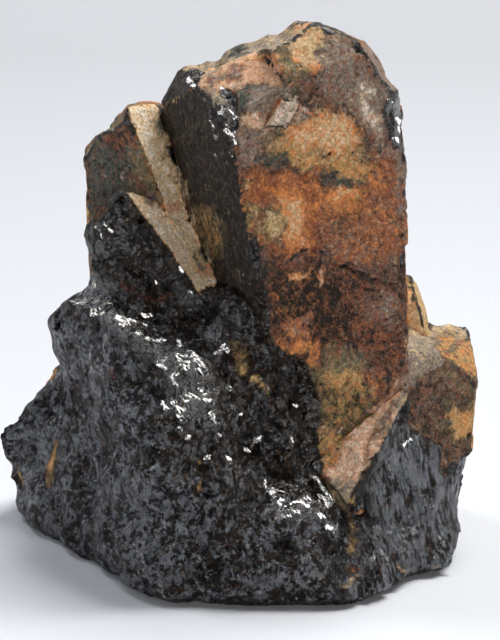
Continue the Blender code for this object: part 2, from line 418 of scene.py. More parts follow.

# %% [markdown]
# ## Strokes and regions
# Stains, chips and cracks are laid on one by one. A stroke is a short path in the picture and a width in
# millimetres: each of its points is dropped on the stone along the line of sight, so the stroke lies on
# the surface and belongs to it from every side. A region is an outline in the picture that covers what
# can be seen inside it. Both are measured from points that are shaken a little by noise, which gives them
# ragged rims.

# %% Shaken points, and where the picture shows them
RAGGED = [(2.6, 0.7, 3.1), (0.9, 0.4, 8.7)]
HIDDEN_BEHIND = 0.7
TURNED_AWAY = 0.2


def shaken(where, size, amount, seed):
    """The points moved by smooth noise of a given size, both in millimetres."""
    offset = Vector((seed, seed * 0.7, -seed))
    return where + amount * np.array([noise.noise_vector(Vector(p) / size + offset) for p in where])


def in_picture(where):
    """The pixel columns and rows at which points are seen."""
    from_eye = where - np.array(eye)
    scale = focal_pixels / (from_eye @ np.array(sight))
    across = AIM_PIXEL[0] + scale * (from_eye @ np.array(picture_right))
    return across, AIM_PIXEL[1] - scale * (from_eye @ np.array(picture_up))


def seen(point):
    """Whether nothing of the solid hides a point from the camera."""
    ray = (Vector(point) - eye) * MM
    hit = rough_tree.ray_cast(eye * MM, ray.normalized())[3]
    return hit is None or hit > ray.length - HIDDEN_BEHIND * MM


ragged_points = points
for size, amount, seed in RAGGED:
    ragged_points = shaken(ragged_points, size, amount, seed)
columns, rows = in_picture(points)
ragged_columns, ragged_rows = in_picture(ragged_points)
faces_camera = even_normals @ np.array(sight) < TURNED_AWAY
in_view = faces_camera * np.array([seen(point) for point in points], dtype=float)
print("points in view:", int(in_view.sum()))


# %% Strokes and regions
FAR_OFF, LEAST_LENGTH = 1e9, 1e-9
OUTER_SOFTNESS = 0.4


def gap_to_path(places, stops):
    """The distance of places from a path through stops, in as many dimensions as they have."""
    gaps = np.full(len(places), FAR_OFF)
    for a, b in zip(stops, stops[1:] or stops):
        along = b - a
        t = np.clip((places - a) @ along / max(float(along @ along), LEAST_LENGTH), 0.0, 1.0)
        gaps = np.minimum(gaps, np.linalg.norm(places - a - t[:, None] * along, axis=1))
    return gaps


def stroke_gap(path, where):
    return gap_to_path(where, [on_stone(px, py) for px, py in path])


def stroke_cover(path, radius, softness=0.45):
    """How much of a stroke lies on each point: 1 along its path, 0 past its radius."""
    gaps = stroke_gap(path, ragged_points)
    return 1.0 - smooth_step(1.0 - softness, 1.0 + softness * OUTER_SOFTNESS, gaps / radius)


def region_cover(corners, rim=4.0, raggedness=1.0):
    """How much each point in view lies inside an outline, with a rim of so many pixels."""
    xs = columns + raggedness * (ragged_columns - columns)
    ys = rows + raggedness * (ragged_rows - rows)
    inside = np.zeros(point_count, dtype=bool)
    outline = [np.array(corner, dtype=float) for corner in corners]
    for (ax, ay), (bx, by) in zip(outline, outline[1:] + outline[:1]):
        if ay != by:
            inside ^= ((ay > ys) != (by > ys)) & (xs < (bx - ax) * (ys - ay) / (by - ay) + ax)
    gaps = gap_to_path(np.column_stack([xs, ys]), outline + outline[:1])
    return smooth_step(-rim, rim, np.where(inside, gaps, -gaps)) * in_view


def faces_under(corners):
    """The crystal faces on which an outline lies: those seen halfway from its middle to its corners."""
    middle = np.mean(corners, axis=0)
    places = [middle] + [(middle + np.array(corner)) / 2 for corner in corners]
    found = {patch_of[seen_face(px, py)] for px, py in places}
    return np.isin(patch_at, list(found)) | ((is_crystal < 0.5) if found - crystal_patches else False)


print("stroke test, points covered:", int((stroke_cover([(300, 200), (320, 220)], 2.0) > 0.5).sum()))

# %% [markdown]
# ## Broken edges on the crystals
# The tall crystal has lost its upper corners. There the black inside shows, with the same shell-like
# scars as the ore below. The outlines in CHIPPED turn a stretch of crystal face into broken surface
# before anything is carved. Those in WHOLE do the opposite: they keep the crystals' own faces whole where
# a small facet of the solid would count as ore. Elsewhere the rims have only small bites.

# %% Where the crystals are chipped
CHIPPED = [
    [(181, 74), (190, 66), (200, 63), (200, 70), (195, 87), (188, 85)],
    [(221, 90), (225, 86), (232, 92), (237, 102), (241, 114), (243, 130), (237, 150), (228, 140), (213, 118),
     (204, 98), (213, 108), (220, 106), (224, 99)],
    [(386, 90), (398, 96), (412, 118), (414, 152), (398, 150), (387, 132), (382, 108)],
    [(308, 18), (330, 26), (344, 40), (328, 36), (312, 30)],
    [(258, 250), (264, 300), (274, 345), (298, 358), (314, 368), (318, 410), (321, 474), (288, 484),
        (256, 330)],
]
WHOLE = [
    [(200, 56), (236, 40), (300, 24), (306, 92), (262, 134), (246, 104), (240, 84), (204, 90)],
    [(262, 96), (306, 96), (306, 134), (262, 134)],
    [(400, 282), (430, 282), (430, 338), (404, 338)],
    [(136, 146), (150, 150), (182, 206), (184, 236), (166, 236), (150, 212)],
    [(404, 328), (486, 328), (486, 440), (404, 400)],
    [(318, 424), (362, 404), (398, 376), (408, 390), (384, 440), (354, 508), (330, 496), (318, 476)],
]
BITE_SIZE, SMALL_BITE_SIZE, SMALL_BITE_SHARE = 2.3, 0.9, 0.4
WHOLE_RIM, WHOLE_RAGGEDNESS, CHIP_RIM = 2.0, 0.3, 2.5

whole = np.maximum.reduce([region_cover(corners, WHOLE_RIM, WHOLE_RAGGEDNESS) for corners in WHOLE])
broken *= 1.0 - whole
for corners in CHIPPED:
    broken = np.maximum(broken, region_cover(corners, CHIP_RIM))
bites = np.array([
    noise.noise(Vector(point) / BITE_SIZE) + SMALL_BITE_SHARE * noise.noise(Vector(point) / SMALL_BITE_SIZE)
    for point in points
])
bites = smooth_step(0.12, 0.50, bites) * smooth_step(0.9, 0.1, rim_gap) * is_crystal
bites *= 1.0 - whole
broken = np.maximum(broken, bites) * (1.0 - is_base)
print("share of broken surface now:", round(float(broken.mean()), 2))

# %% [markdown]
# ## Carving the fracture
# Glassy minerals break in shells: shallow bowls with sharp rims, large ones with small ones inside.
# Voronoi noise gives such a layer, because the squared distance to the nearest seed is a bowl around each
# seed and two bowls meet in a crease. Each bowl also leans its own way, which makes steps between them.
# Three layers of falling size are added. On the right lump the scars are drawn out into steep, wavy ribs,
# so the space is squeezed along the ribs there first.

# %% The grain of the ore
RIB_STRETCH, RIBBED_RIM = 3.0, 10.0
RIBS = Vector((-0.24, -0.05, -1.0)).normalized()
RIDGE = Vector(on_stone(215, 385) - on_stone(90, 290)).normalized()


def squeezed(where, direction, share, stretch):
    """Points squeezed along a direction, so that a pattern on them is drawn out along it."""
    along = where @ np.array(direction)
    return where + (share * (1.0 / stretch - 1.0) * along)[:, None] * np.array(direction)


ribbed = region_cover([
    (346, 520), (378, 420), (400, 408), (440, 440), (476, 452), (474, 560), (430, 590), (350, 605),
    (340, 570),
], RIBBED_RIM)
grain = squeezed(points, RIBS, ribbed, RIB_STRETCH)
print("ribbed points:", int((ribbed > 0.5).sum()))

# %% [markdown]
# ## Polished places and glints
# On the ridge, in the lower middle and on the chipped corners, the fracture is as smooth as glass, and
# the photograph shows white glints there. With facets that lean at random, glints would flash anywhere.
# Here each one is a short stroke with a width of its own. Each point gets one value from its distance to
# the nearest stroke: 0.5 at a stroke's rim, and more inside. The material turns its facets to a lamp
# there.

# %% Polished places and glints
POLISHED = [
    [(70, 298), (84, 280), (112, 284), (150, 312), (196, 352), (228, 384), (214, 402), (172, 372),
        (120, 336)],
    [(262, 480), (290, 482), (318, 474), (342, 490), (338, 520), (284, 520)],
    [(208, 84), (222, 82), (240, 108), (244, 138), (234, 146), (212, 112)],
    [(184, 286), (206, 282), (214, 326), (224, 346), (204, 346)],
    [(384, 88), (402, 106), (408, 148), (394, 142)],
    [(160, 356), (214, 400), (224, 424), (206, 432), (170, 410)],
]
POLISH_RIM = 5.0
polish = np.maximum.reduce([region_cover(corners, POLISH_RIM) for corners in POLISHED]) * broken
GLINTS = [
    (0.16, [(76, 301), (84, 299)]), (0.16, [(80, 282), (86, 280)]),
    (0.20, [(97, 298), (104, 299), (106, 301), (111, 299)]), (0.13, [(88, 308), (98, 307)]),
    (0.15, [(106, 308), (114, 305)]), (0.14, [(87, 314), (96, 314), (104, 310)]),
    (0.20, [(117, 317), (121, 319)]), (0.26, [(123, 323), (129, 321), (136, 318)]),
    (0.12, [(132, 316), (135, 314)]), (0.22, [(144, 324), (150, 322), (156, 325)]),
    (0.16, [(143, 313), (150, 314)]), (0.14, [(137, 331), (142, 335)]),
    (0.18, [(144, 336), (151, 336)]), (0.20, [(155, 338), (165, 338)]),
    (0.18, [(166, 334), (171, 332), (175, 339), (180, 346)]), (0.16, [(176, 352), (186, 358)]),
    (0.22, [(177, 356), (184, 361), (189, 366)]), (0.20, [(180, 360), (186, 368)]),
    (0.22, [(190, 353), (196, 360), (202, 366)]), (0.22, [(159, 363), (165, 369)]),
    (0.12, [(163, 361), (167, 358)]), (0.14, [(171, 377), (179, 373)]),
    (0.16, [(172, 380), (177, 386)]), (0.11, [(198, 386), (206, 394)]),
    (0.12, [(188, 394), (196, 398), (210, 400)]), (0.12, [(182, 397), (187, 401)]),
    (0.14, [(162, 402), (167, 409)]), (0.18, [(172, 401), (178, 409), (184, 410)]),
    (0.18, [(178, 415), (182, 419)]), (0.16, [(212, 414), (218, 422)]),
    (0.18, [(216, 354), (222, 352)]), (0.24, [(224, 346), (228, 350)]),
    (0.12, [(230, 386), (233, 390)]), (0.12, [(179, 428), (181, 429)]),
    (0.14, [(197, 369), (202, 374)]), (0.14, [(187, 439), (190, 436)]),
    (0.18, [(256, 441), (257, 439)]), (0.14, [(260, 436), (262, 438)]),
    (0.16, [(246, 448), (251, 450)]), (0.12, [(226, 458), (229, 460)]),
    (0.12, [(206, 459), (209, 457)]), (0.10, [(96, 226), (104, 236)]), (0.10, [(105, 222), (112, 232)]),
    (0.15, [(290, 438), (292, 441)]), (0.12, [(239, 414), (241, 414)]),
    (0.13, [(219, 434), (220, 436)]), (0.10, [(294, 405), (298, 406)]),
    (0.16, [(265, 482), (274, 487), (284, 490)]), (0.22, [(267, 488), (274, 495), (282, 502)]),
    (0.18, [(293, 503), (299, 501), (304, 501)]), (0.14, [(286, 507), (294, 510), (302, 513)]),
    (0.12, [(289, 515), (296, 515)]), (0.12, [(306, 498), (310, 498), (308, 506)]),
    (0.16, [(314, 478), (321, 482), (329, 488)]), (0.14, [(318, 484), (328, 492)]),
    (0.36, [(329, 490), (332, 498), (327, 505)]), (0.26, [(318, 497), (328, 500)]),
    (0.20, [(321, 489), (327, 493)]), (0.16, [(319, 502), (324, 507)]),
    (0.22, [(333, 482), (335, 478)]), (0.16, [(320, 515), (328, 515)]),
    (0.14, [(328, 526), (336, 530), (338, 525)]), (0.18, [(222, 106), (230, 112), (235, 116)]),
    (0.18, [(211, 120), (214, 130)]), (0.10, [(215, 135), (217, 138)]),
    (0.18, [(222, 124), (229, 121), (236, 117)]),
    (0.16, [(223, 130), (230, 136), (236, 133), (240, 130)]), (0.16, [(234, 140), (235, 143)]),
    (0.12, [(220, 88), (224, 89)]), (0.14, [(230, 87), (233, 89)]),
    (0.18, [(185, 76), (188, 80), (192, 85)]), (0.10, [(195, 70), (197, 69)]),
    (0.12, [(230, 153), (232, 156)]), (0.12, [(216, 155), (217, 157)]),
    (0.12, [(216, 115), (221, 112)]), (0.16, [(395, 94), (397, 103)]), (0.20, [(396, 119), (398, 122)]),
    (0.15, [(397, 128), (399, 130)]), (0.20, [(393, 138), (399, 141)]), (0.12, [(386, 98), (390, 102)]),
    (0.12, [(183, 258), (187, 264)]), (0.12, [(188, 291), (190, 292)]),
    (0.12, [(180, 268), (183, 272)]), (0.10, [(153, 281), (154, 285)]),
    (0.12, [(402, 446), (408, 440)]),
]
FURTHEST_GLINT, GLINT_MARGIN = 1.0, 0.06
glint = np.full(point_count, FURTHEST_GLINT)
for radius, path in GLINTS:
    glint = np.minimum(glint, stroke_gap(path, points) - radius - GLINT_MARGIN)
glint = 0.5 - 0.5 * glint / FURTHEST_GLINT
print("polished points:", int((polish > 0.5).sum()), "glints:", len(GLINTS))

# %% [markdown]
# ## Satin and shattered places
# Some places on the bloomed ore shine a little more than the rest, like satin; that shine is partly real
# gloss and partly a painted sheen of more and lighter grey flecks in the colour. And the ore is shattered
# into more and smaller scars in its middle and on the chipped corners than on the even lumps outside. Both
# are drawn as outlines again; a satin outline also says how strong it is.

# %% Satin and shattered places
SATIN = [
    (1.0, [(188, 290), (204, 284), (212, 306), (211, 324), (198, 320), (186, 302)]),
    (1.0, [(203, 326), (214, 330), (222, 346), (208, 344)]),
    (0.9, [(250, 468), (266, 464), (271, 474), (262, 480), (252, 478)]),
    (0.8, [(282, 440), (290, 424), (300, 420), (298, 432), (286, 448)]),
    (0.8, [(289, 448), (316, 446), (318, 456), (292, 460)]),
    (0.8, [(228, 480), (242, 476), (244, 486), (230, 488)]),
    (0.6, [(184, 484), (196, 500), (216, 500), (216, 540), (196, 540), (184, 520)]),
    (0.8, [(6, 430), (50, 404), (66, 420), (60, 500), (24, 500)]),
    (0.4, [(96, 480), (190, 474), (200, 566), (110, 560)]),
    (0.7, [(150, 410), (166, 416), (168, 440), (152, 436)]),
    (0.5, [(384, 450), (440, 440), (450, 500), (430, 560), (390, 560), (376, 500)]),
]
SHATTERED = [
    [(150, 240), (290, 290), (325, 400), (345, 520), (250, 540), (190, 480), (150, 400), (60, 320),
        (60, 280), (90, 200)],
    [(160, 108), (166, 84), (186, 66), (222, 82), (240, 110), (240, 150), (228, 128), (190, 110)],
    [(372, 78), (414, 118), (414, 152), (398, 150)],
]
SATIN_RIM, SHATTERED_RIM = 4.0, 12.0

satin = np.maximum.reduce([share * region_cover(corners, SATIN_RIM) for share, corners in SATIN])
shattered = np.maximum.reduce([region_cover(corners, SHATTERED_RIM) for corners in SHATTERED])
print("satin points:", int((satin > 0.4).sum()), "shattered points:", int((shattered > 0.5).sum()))

# %% [markdown]
# ## Scars, layer by layer
# A row of SCARS is one layer: its size and depth in millimetres, how much its bowls lean, and the share
# of its depth that is left on the even lumps. The finer layers are weaker on the polished places, and all
# are weaker close to a crystal's rim, which would otherwise be eaten away. The polished places get
# ripples as well, drawn out along the ridge.

# %% Scars, layer by layer
SCARS = [(6.5, 0.95, 1.8, 1.0), (3.2, 0.52, 2.2, 0.85), (1.5, 0.22, 2.0, 0.5)]
SCAR_MEAN = 0.25
MOST_OUTWARDS = 0.28
SCAR_WAVER, WAVER_PITCH, TILT_PITCH = 0.12, 1.1, 5.7
RIM_SHARE, RIM_REACH, BITE_DEPTH = 0.35, 1.4, 0.30
RIPPLE_SIZE, RIPPLE_DEPTH, RIPPLE_STRETCH = 2.8, 1.0, 2.5
LEAST_SHELL, SMOOTH_SHELLS = 4.0, 0.4
BARELY = 0.01


def scar(point, size, lean):
    """The height of one layer of leaning bowls at a point."""
    place = point / size
    place += SCAR_WAVER * noise.noise_vector(place * WAVER_PITCH)
    gaps, seeds = noise.voronoi(place)
    tilt = noise.noise_vector(seeds[0] * TILT_PITCH)
    return gaps[0] ** 2 + lean * tilt.dot(place - seeds[0]) - SCAR_MEAN


carving = np.zeros(point_count)
broken_points = np.flatnonzero(broken > BARELY)
for size, depth, lean, on_even_lumps in SCARS:
    shares_here = depth * broken * (on_even_lumps + (1.0 - on_even_lumps) * shattered)
    shares_here *= 1.0 - polish * (SMOOTH_SHELLS if size < LEAST_SHELL else 0.0)
    for i in broken_points:
        carving[i] += shares_here[i] * scar(Vector(grain[i]), size, lean)
carving *= RIM_SHARE + (1.0 - RIM_SHARE) * smooth_step(0.0, RIM_REACH, rim_gap)
carving = np.minimum(carving, MOST_OUTWARDS) - BITE_DEPTH * bites
rippled = squeezed(points, RIDGE, 1.0, RIPPLE_STRETCH)
for i in np.flatnonzero(polish > BARELY):
    carving[i] -= RIPPLE_DEPTH * polish[i] * abs(noise.noise(Vector(rippled[i]) / RIPPLE_SIZE))
print("carving, mm:", round(float(carving.min()), 2), "to", round(float(carving.max()), 2))

# %% [markdown]
# ## The crystal faces
# A grown face is flat but never blank. It has faint growth lines along the crystal, low swells where the
# crust is thicker, and small steps where thin plates have come off.

# %% Growth lines and swells
GROWTH_LINE = Vector((0.55, 0.55, 0.05))
SWELL_SIZE, SWELL_HEIGHT, LINE_HEIGHT = 4.0, 0.08, 0.03
BUMP_SIZE, BUMP_HEIGHT = 0.8, 0.04
PLATE_SIZE, PLATE_STEP, PLATE_LEVEL = 4.5, 0.16, 0.12
PLATE_PLACE = Vector((4.0, 7.0, 1.0))
LAYERS = (1.0, 2.0, 3)

faces_kept = is_crystal * (1.0 - broken)
relief = np.zeros(point_count)
for i in np.flatnonzero(faces_kept > BARELY):
    place = Vector(points[i])
    swell = noise.fractal(place / SWELL_SIZE, *LAYERS)
    lines = noise.noise(Vector((place.x / GROWTH_LINE.x, place.y / GROWTH_LINE.y, place.z * GROWTH_LINE.z)))
    bumps = noise.noise(place / BUMP_SIZE)
    plates = noise.fractal(Vector(ragged_points[i]) / PLATE_SIZE + PLATE_PLACE, *LAYERS)
    relief[i] = SWELL_HEIGHT * swell + LINE_HEIGHT * lines + BUMP_HEIGHT * bumps
    relief[i] += PLATE_STEP * (plates > PLATE_LEVEL)
relief *= faces_kept
print("relief, mm:", round(float(relief.min()), 2), "to", round(float(relief.max()), 2))

# %% [markdown]
# ## Cracks and steps
# One dark crack crosses the tall face, and thin plates of crust have lifted along a few lines. A crack is
# a stroke that goes in, and a lip is one that comes out. A row of CUTS has a height and a radius in
# millimetres, and the path.

# %% Cracks and lips on the tall face
CUTS = [
    (-0.40, 0.45, [(318, 251), (340, 261), (360, 276), (402, 287)]),
    (-0.20, 0.40, [(275, 170), (330, 176)]),
    (-0.18, 0.35, [(306, 175), (308, 210), (312, 250)]),
    (-0.20, 0.40, [(322, 318), (320, 350)]),
    (-0.30, 0.45, [(312, 152), (322, 158), (330, 148)]),
    (0.25, 0.45, [(322, 425), (340, 421), (352, 426)]),
    (0.18, 0.40, [(290, 172), (262, 180), (285, 205), (300, 222)]),
    (-0.35, 0.50, [(118, 200), (126, 230)]),
    (-0.80, 0.90, [(17, 448), (17, 462)]),
    (-0.70, 0.70, [(32, 450), (34, 458)]),
    (-0.50, 0.60, [(30, 420), (40, 428)]),
    (-0.50, 0.55, [(40, 418), (52, 430)]),
    (-0.45, 0.50, [(52, 412), (60, 430)]),
    (-0.55, 1.20, [(128, 368), (134, 380)]),
    (-0.40, 0.45, [(60, 398), (66, 412)]),
    (-0.60, 0.50, [(376, 430), (366, 450), (358, 480)]),
]
CUT_SOFTNESS = 0.8

for depth, radius, path in CUTS:
    relief += depth * stroke_cover(path, radius, CUT_SOFTNESS)
print("relief with cracks, mm:", round(float(relief.min()), 2), "to", round(float(relief.max()), 2))

# %% [markdown]
# ## The outline, brought closer to the picture
# The plain solid is coarser than the stone, so here and there its outline runs up to a millimetre beside
# the real one. A drift swells or sinks the surface around a path, and a pull moves what the picture shows
# around a path: to the right, up and forward, in millimetres, with a radius in pixels. The pulls on the
# outline are about a millimetre at most, and those at the foot bring the ore's lower edge two to five
# millimetres forward. FOREMOST is a soft limit to how far forward anything goes.

# %% Drifts and pulls
DRIFTS = [
    (1.9, 8.0, [(60, 520), (100, 535), (140, 560), (170, 580)]),
    (-0.75, 3.5, [(206, 62), (225, 55), (250, 45), (285, 28)]),
    (-0.4, 3.0, [(98, 128), (112, 116)]),
    (-1.0, 4.5, [(52, 315), (46, 345), (50, 375)]),
    (-1.2, 4.5, [(8, 428), (25, 410), (45, 392)]),
]
PULLS = [
    (0.0, -0.60, 0.0, 10, [(98, 126), (110, 122)]),
    (-0.7, 0.80, 0.0, 13, [(136, 113)]),
    (0.0, 0.80, 0.0, 12, [(150, 113)]),
    (0.75, 0.20, 0.0, 13, [(157, 116), (162, 134), (167, 152), (176, 178)]),
    (0.0, -0.40, 0.0, 12, [(202, 60)]),
    (0.0, -0.95, 0.0, 9, [(217, 56)]),
    (0.0, -0.45, 0.0, 14, [(256, 38)]),
    (0.0, -0.70, 0.0, 14, [(279, 28)]),
    (0.1, 0.50, 0.0, 18, [(322, 30), (338, 40)]),
    (0.3, 0.50, 0.0, 18, [(356, 50), (370, 64)]),
    (0.5, 0.0, 0.0, 18, [(395, 96), (400, 112)]),
    (-0.6, 0.0, 0.0, 12, [(6, 434), (10, 450)]),
    (0.6, 0.0, 0.0, 16, [(6, 474), (12, 490)]),
    (-0.5, 0.0, 0.0, 20, [(66, 300), (54, 320)]),
    (0.0, -0.9, 0.0, 14, [(426, 324), (438, 324)]),
    (0.2, -0.5, 0.0, 12, [(456, 328), (470, 332)]),
    (-0.7, 0.0, 0.0, 20, [(466, 512)]),
    (0.0, 0.0, 3.2, 50, [(66, 532), (82, 540), (110, 556), (134, 566)]),
    (0.0, 0.0, 1.4, 24, [(80, 545)]),
    (0.0, 0.0, 2.6, 44, [(180, 590), (250, 598), (318, 596)]),
    (0.0, 0.0, 2.8, 44, [(360, 586), (385, 575), (420, 562), (448, 550)]),
    (0.0, 0.0, 2.2, 26, [(450, 550)]),
]
FADE = 1.3
FOREMOST, HELD_BACK = -20.1, 1.5

for amount, radius, path in DRIFTS:
    gaps = gap_to_path(points, [on_stone(px, py) for px, py in path])
    relief += amount * (1.0 - smooth_step(0.0, FADE, gaps / radius)) * (1.0 - is_base)
moved = points + (carving + relief)[:, None] * even_normals
for across, up, forward, radius, path in PULLS:
    gaps = gap_to_path(np.column_stack([columns, rows]), [np.array(stop, dtype=float) for stop in path])
    way = np.array(across * picture_right + up * picture_up + Vector((0.0, -forward, 0.0)))
    moved += (1.0 - smooth_step(0.0, FADE, gaps / radius))[:, None] * way
too_far = np.maximum(FOREMOST + HELD_BACK - moved[:, 1], 0.0) / HELD_BACK
moved[:, 1] += HELD_BACK * (too_far - 1.0 + np.exp(-too_far))
print("furthest forward, mm:", round(float(moved[:, 1].min()), 2))

# %% [markdown]
# ## The crevices and the foot
# Where the triangular strip meets the ore, the carving has folded the skin. Two crevices there are
# smoothed by averaging each point with its neighbours many times. The foot is drawn in a little, so a
# thin shadow runs under the stone, and the base is made flat again.

# %% The crevices and the foot
CREVICES = [
    (3.0, [(334, 504), (346, 522), (362, 524), (372, 500)]),
    (1.6, [(322, 440), (332, 452), (342, 460)]),
]
SMOOTHINGS = 110
UNDERCUT_HEIGHT, UNDERCUT_SHARE = 1.2, 0.05

crevice = np.maximum.reduce([stroke_cover(path, radius, CUT_SOFTNESS) for radius, path in CREVICES])
moved += crevice[:, None] * (spread(moved, SMOOTHINGS) - moved)
undercut = 1.0 - UNDERCUT_SHARE * smooth_step(UNDERCUT_HEIGHT, 0.0, moved[:, 2])
moved[:, :2] = points[:, :2].mean(0) + undercut[:, None] * (moved[:, :2] - points[:, :2].mean(0))
moved[:, 2] = np.where(is_base > 0.5, 0.0, np.maximum(moved[:, 2], 0.0))
skin_mesh.vertices.foreach_set("co", (moved * MM).ravel())
skin_mesh.update()
print("skin, mm:", np.round(moved.min(0), 1), np.round(moved.max(0), 1))

# %% [markdown]
# ## Which lamp a glint can see
# A facet can only mirror a lamp that nothing hides. From each point near a glint a ray is sent to the
# overhead lamp. Where the surface turns away from that lamp or the ray hits the stone, the glint is given
# to the lamp in front. The answers are softened between neighbours, so a stroke doesn't break in two.

# %% Which lamp a glint can see
LEAST_LAMP_SLOPE, LIFT_OFF = 0.15, 0.6
NEAR_GLINT = 0.3

skin_mesh.vertex_normals.foreach_get("vector", normals.reshape(-1))
to_lamp = np.array(OVERHEAD) - moved
to_lamp /= np.linalg.norm(to_lamp, axis=1)[:, None]
lamp_hidden = ((normals * to_lamp).sum(1) < LEAST_LAMP_SLOPE).astype(float)
for i in np.flatnonzero((glint > NEAR_GLINT) & (lamp_hidden < 0.5)):
    start = Vector(moved[i] + LIFT_OFF * normals[i])
    lamp_hidden[i] = rough_tree.ray_cast(start * MM, Vector(to_lamp[i]))[0] is not None
lamp_hidden = smooth_step(0.3, 0.7, spread(lamp_hidden, 2))
in_front = lamp_hidden[glint > 0.5] > 0.5
print("glint points given to the front lamp:", int(in_front.sum()), "of", len(in_front))

# %% [markdown]
# ## The stains
# Iron from the weathering mineral has dyed the faces: rust red where it is thick, orange and ochre where
# it is thin, tan and pinkish where clay clings, and slate or purple where it is old. Seen close, none of
# these is an even paint. Each is a crowd of grains on the dark mineral, and a patch differs from the next
# by how many grains of each colour it has. So every point of the skin carries eleven shares, one for each
# colour of grain, and the material later turns a share into that many grains. A coat is a named set of
# such shares. The back, which the photograph doesn't show, gets the same coats in large drifting patches.

# %% Grains and coats
GRAINS = {
    "purple": "#836a60", "grey": "#8f8377", "olive": "#807450", "slate": "#50564f", "rust": "#8c5439",
    "ochre": "#bb965f", "orange": "#ce834c", "tan": "#d2b58c", "pink": "#d0a385", "pale": "#e6dac8",
    "dark": "#28231e",
}
COATS = {
    "bare": {},
    "thin": {"tan": 0.10, "purple": 0.16, "olive": 0.14, "dark": 0.42},
    "dark olive": {"olive": 0.70, "purple": 0.50, "slate": 0.42, "rust": 0.34, "tan": 0.20, "dark": 0.20},
    "slate": {"slate": 0.85, "purple": 0.30, "grey": 0.44, "rust": 0.22, "tan": 0.08, "dark": 0.40},
    "purple": {"purple": 0.92, "grey": 0.62, "slate": 0.28, "rust": 0.36, "tan": 0.18, "dark": 0.26},
    "brown": {"purple": 0.62, "rust": 0.42, "olive": 0.34, "slate": 0.34, "tan": 0.14, "dark": 0.44},
    "dark brown": {"purple": 0.58, "rust": 0.38, "olive": 0.26, "slate": 0.38, "tan": 0.12, "dark": 0.46},
    "rust": {"purple": 0.86, "rust": 0.64, "orange": 0.34, "slate": 0.26, "grey": 0.42, "tan": 0.16,
        "dark": 0.28},
    "dark rust": {"purple": 0.60, "rust": 0.58, "orange": 0.20, "slate": 0.38, "dark": 0.50},
    "red": {"rust": 0.94, "orange": 0.44, "purple": 0.46, "dark": 0.20},
    "orange": {"rust": 0.24, "ochre": 0.54, "orange": 1.04, "tan": 0.54, "pale": 0.16, "slate": 0.14},
    "warm": {"rust": 0.66, "orange": 0.55, "ochre": 0.36, "purple": 0.36, "olive": 0.30, "dark": 0.22},
    "gold": {"ochre": 0.76, "orange": 0.46, "olive": 0.50, "slate": 0.42, "tan": 0.32, "dark": 0.20},
    "purple grey": {"purple": 0.66, "grey": 0.80, "tan": 0.14, "slate": 0.34, "rust": 0.26, "dark": 0.15},
    "dull gold": {"ochre": 0.62, "orange": 0.42, "olive": 0.50, "slate": 0.42, "purple": 0.40, "dark": 0.26},
    "light gold": {"tan": 0.62, "ochre": 0.72, "orange": 0.42, "grey": 0.40, "olive": 0.30, "slate": 0.22},
    "ochre": {"ochre": 0.80, "tan": 0.50, "olive": 0.50, "slate": 0.20, "dark": 0.10},
    "olive": {"olive": 0.86, "ochre": 0.56, "tan": 0.44, "slate": 0.26, "dark": 0.12},
    "khaki": {"olive": 0.70, "ochre": 0.36, "orange": 0.32, "purple": 0.48, "dark": 0.46},
    "spotted": {"rust": 0.56, "orange": 0.38, "olive": 0.36, "purple": 0.42, "tan": 0.12, "dark": 0.66},
    "tan": {"tan": 0.94, "ochre": 0.42, "pale": 0.60, "dark": 0.02},
    "warm tan": {"tan": 0.94, "ochre": 0.96, "orange": 0.90, "pale": 0.46, "pink": 0.20, "slate": 0.20},
    "blue grey": {"grey": 0.74, "slate": 0.66, "tan": 0.46, "olive": 0.34, "dark": 0.06},
    "blue tan": {"tan": 0.90, "ochre": 0.36, "pale": 0.60, "grey": 0.50, "slate": 0.36},
    "pink": {"pink": 0.70, "tan": 0.50, "pale": 0.32, "grey": 0.46, "orange": 0.52, "rust": 0.40,
        "dark": 0.06},
    "pink rust": {"pink": 0.70, "rust": 0.52, "orange": 0.58, "purple": 0.36, "tan": 0.24, "grey": 0.30},
    "chip": {"grey": 0.98, "purple": 0.40, "pink": 0.44, "pale": 0.38, "tan": 0.30, "rust": 0.20},
    "grey": {"grey": 0.92, "slate": 0.34, "rust": 0.22, "pale": 0.44, "pink": 0.30, "dark": 0.10},
    "grey tan": {"grey": 0.86, "tan": 0.44, "slate": 0.34, "ochre": 0.38, "dark": 0.14},
    "dull grey": {"grey": 0.90, "slate": 0.34, "olive": 0.32, "tan": 0.34, "dark": 0.14},
    "terrace": {"pink": 0.66, "tan": 0.54, "pale": 0.24, "purple": 0.34, "orange": 0.64, "rust": 0.50,
        "dark": 0.08},
    "pale": {"pale": 0.70, "pink": 0.66, "grey": 0.50, "orange": 0.34},
}
shares = {name: np.zeros(point_count) for name in GRAINS}


def lay(coat, cover):
    """Replaces the shares of all grains by those of a coat, as far as the cover goes."""
    for name, share in shares.items():
        share += cover * (COATS[coat].get(name, 0.0) - share)


BACK_COATS = [
    ("rust", 9.0, -0.02), ("purple", 11.0, 0.06), ("dark olive", 8.0, 0.08), ("khaki", 6.0, 0.12),
    ("spotted", 5.0, 0.10), ("warm", 7.0, 0.18), ("gold", 6.0, 0.28), ("grey tan", 5.0, 0.36),
    ("orange", 4.0, 0.48),
]
BACK_STRETCH, FACE_CHANGE, BACK_RIM = 1.8, 1.3, 0.30

lay("brown", is_crystal)
drawn_points = squeezed(ragged_points, Vector((0.0, 0.0, 1.0)), 1.0, BACK_STRETCH)
for i, (coat, size, least) in enumerate(BACK_COATS):
    field = np.array([
        noise.fractal(Vector(p) / size + Vector(n) * FACE_CHANGE + Vector((i, 2.0 * i, 0.0)), *LAYERS)
        for p, n in zip(drawn_points, plane_normals)
    ])
    lay(coat, is_crystal * smooth_step(least, least + BACK_RIM, field))
print("grains:", len(GRAINS), "coats:", len(COATS))

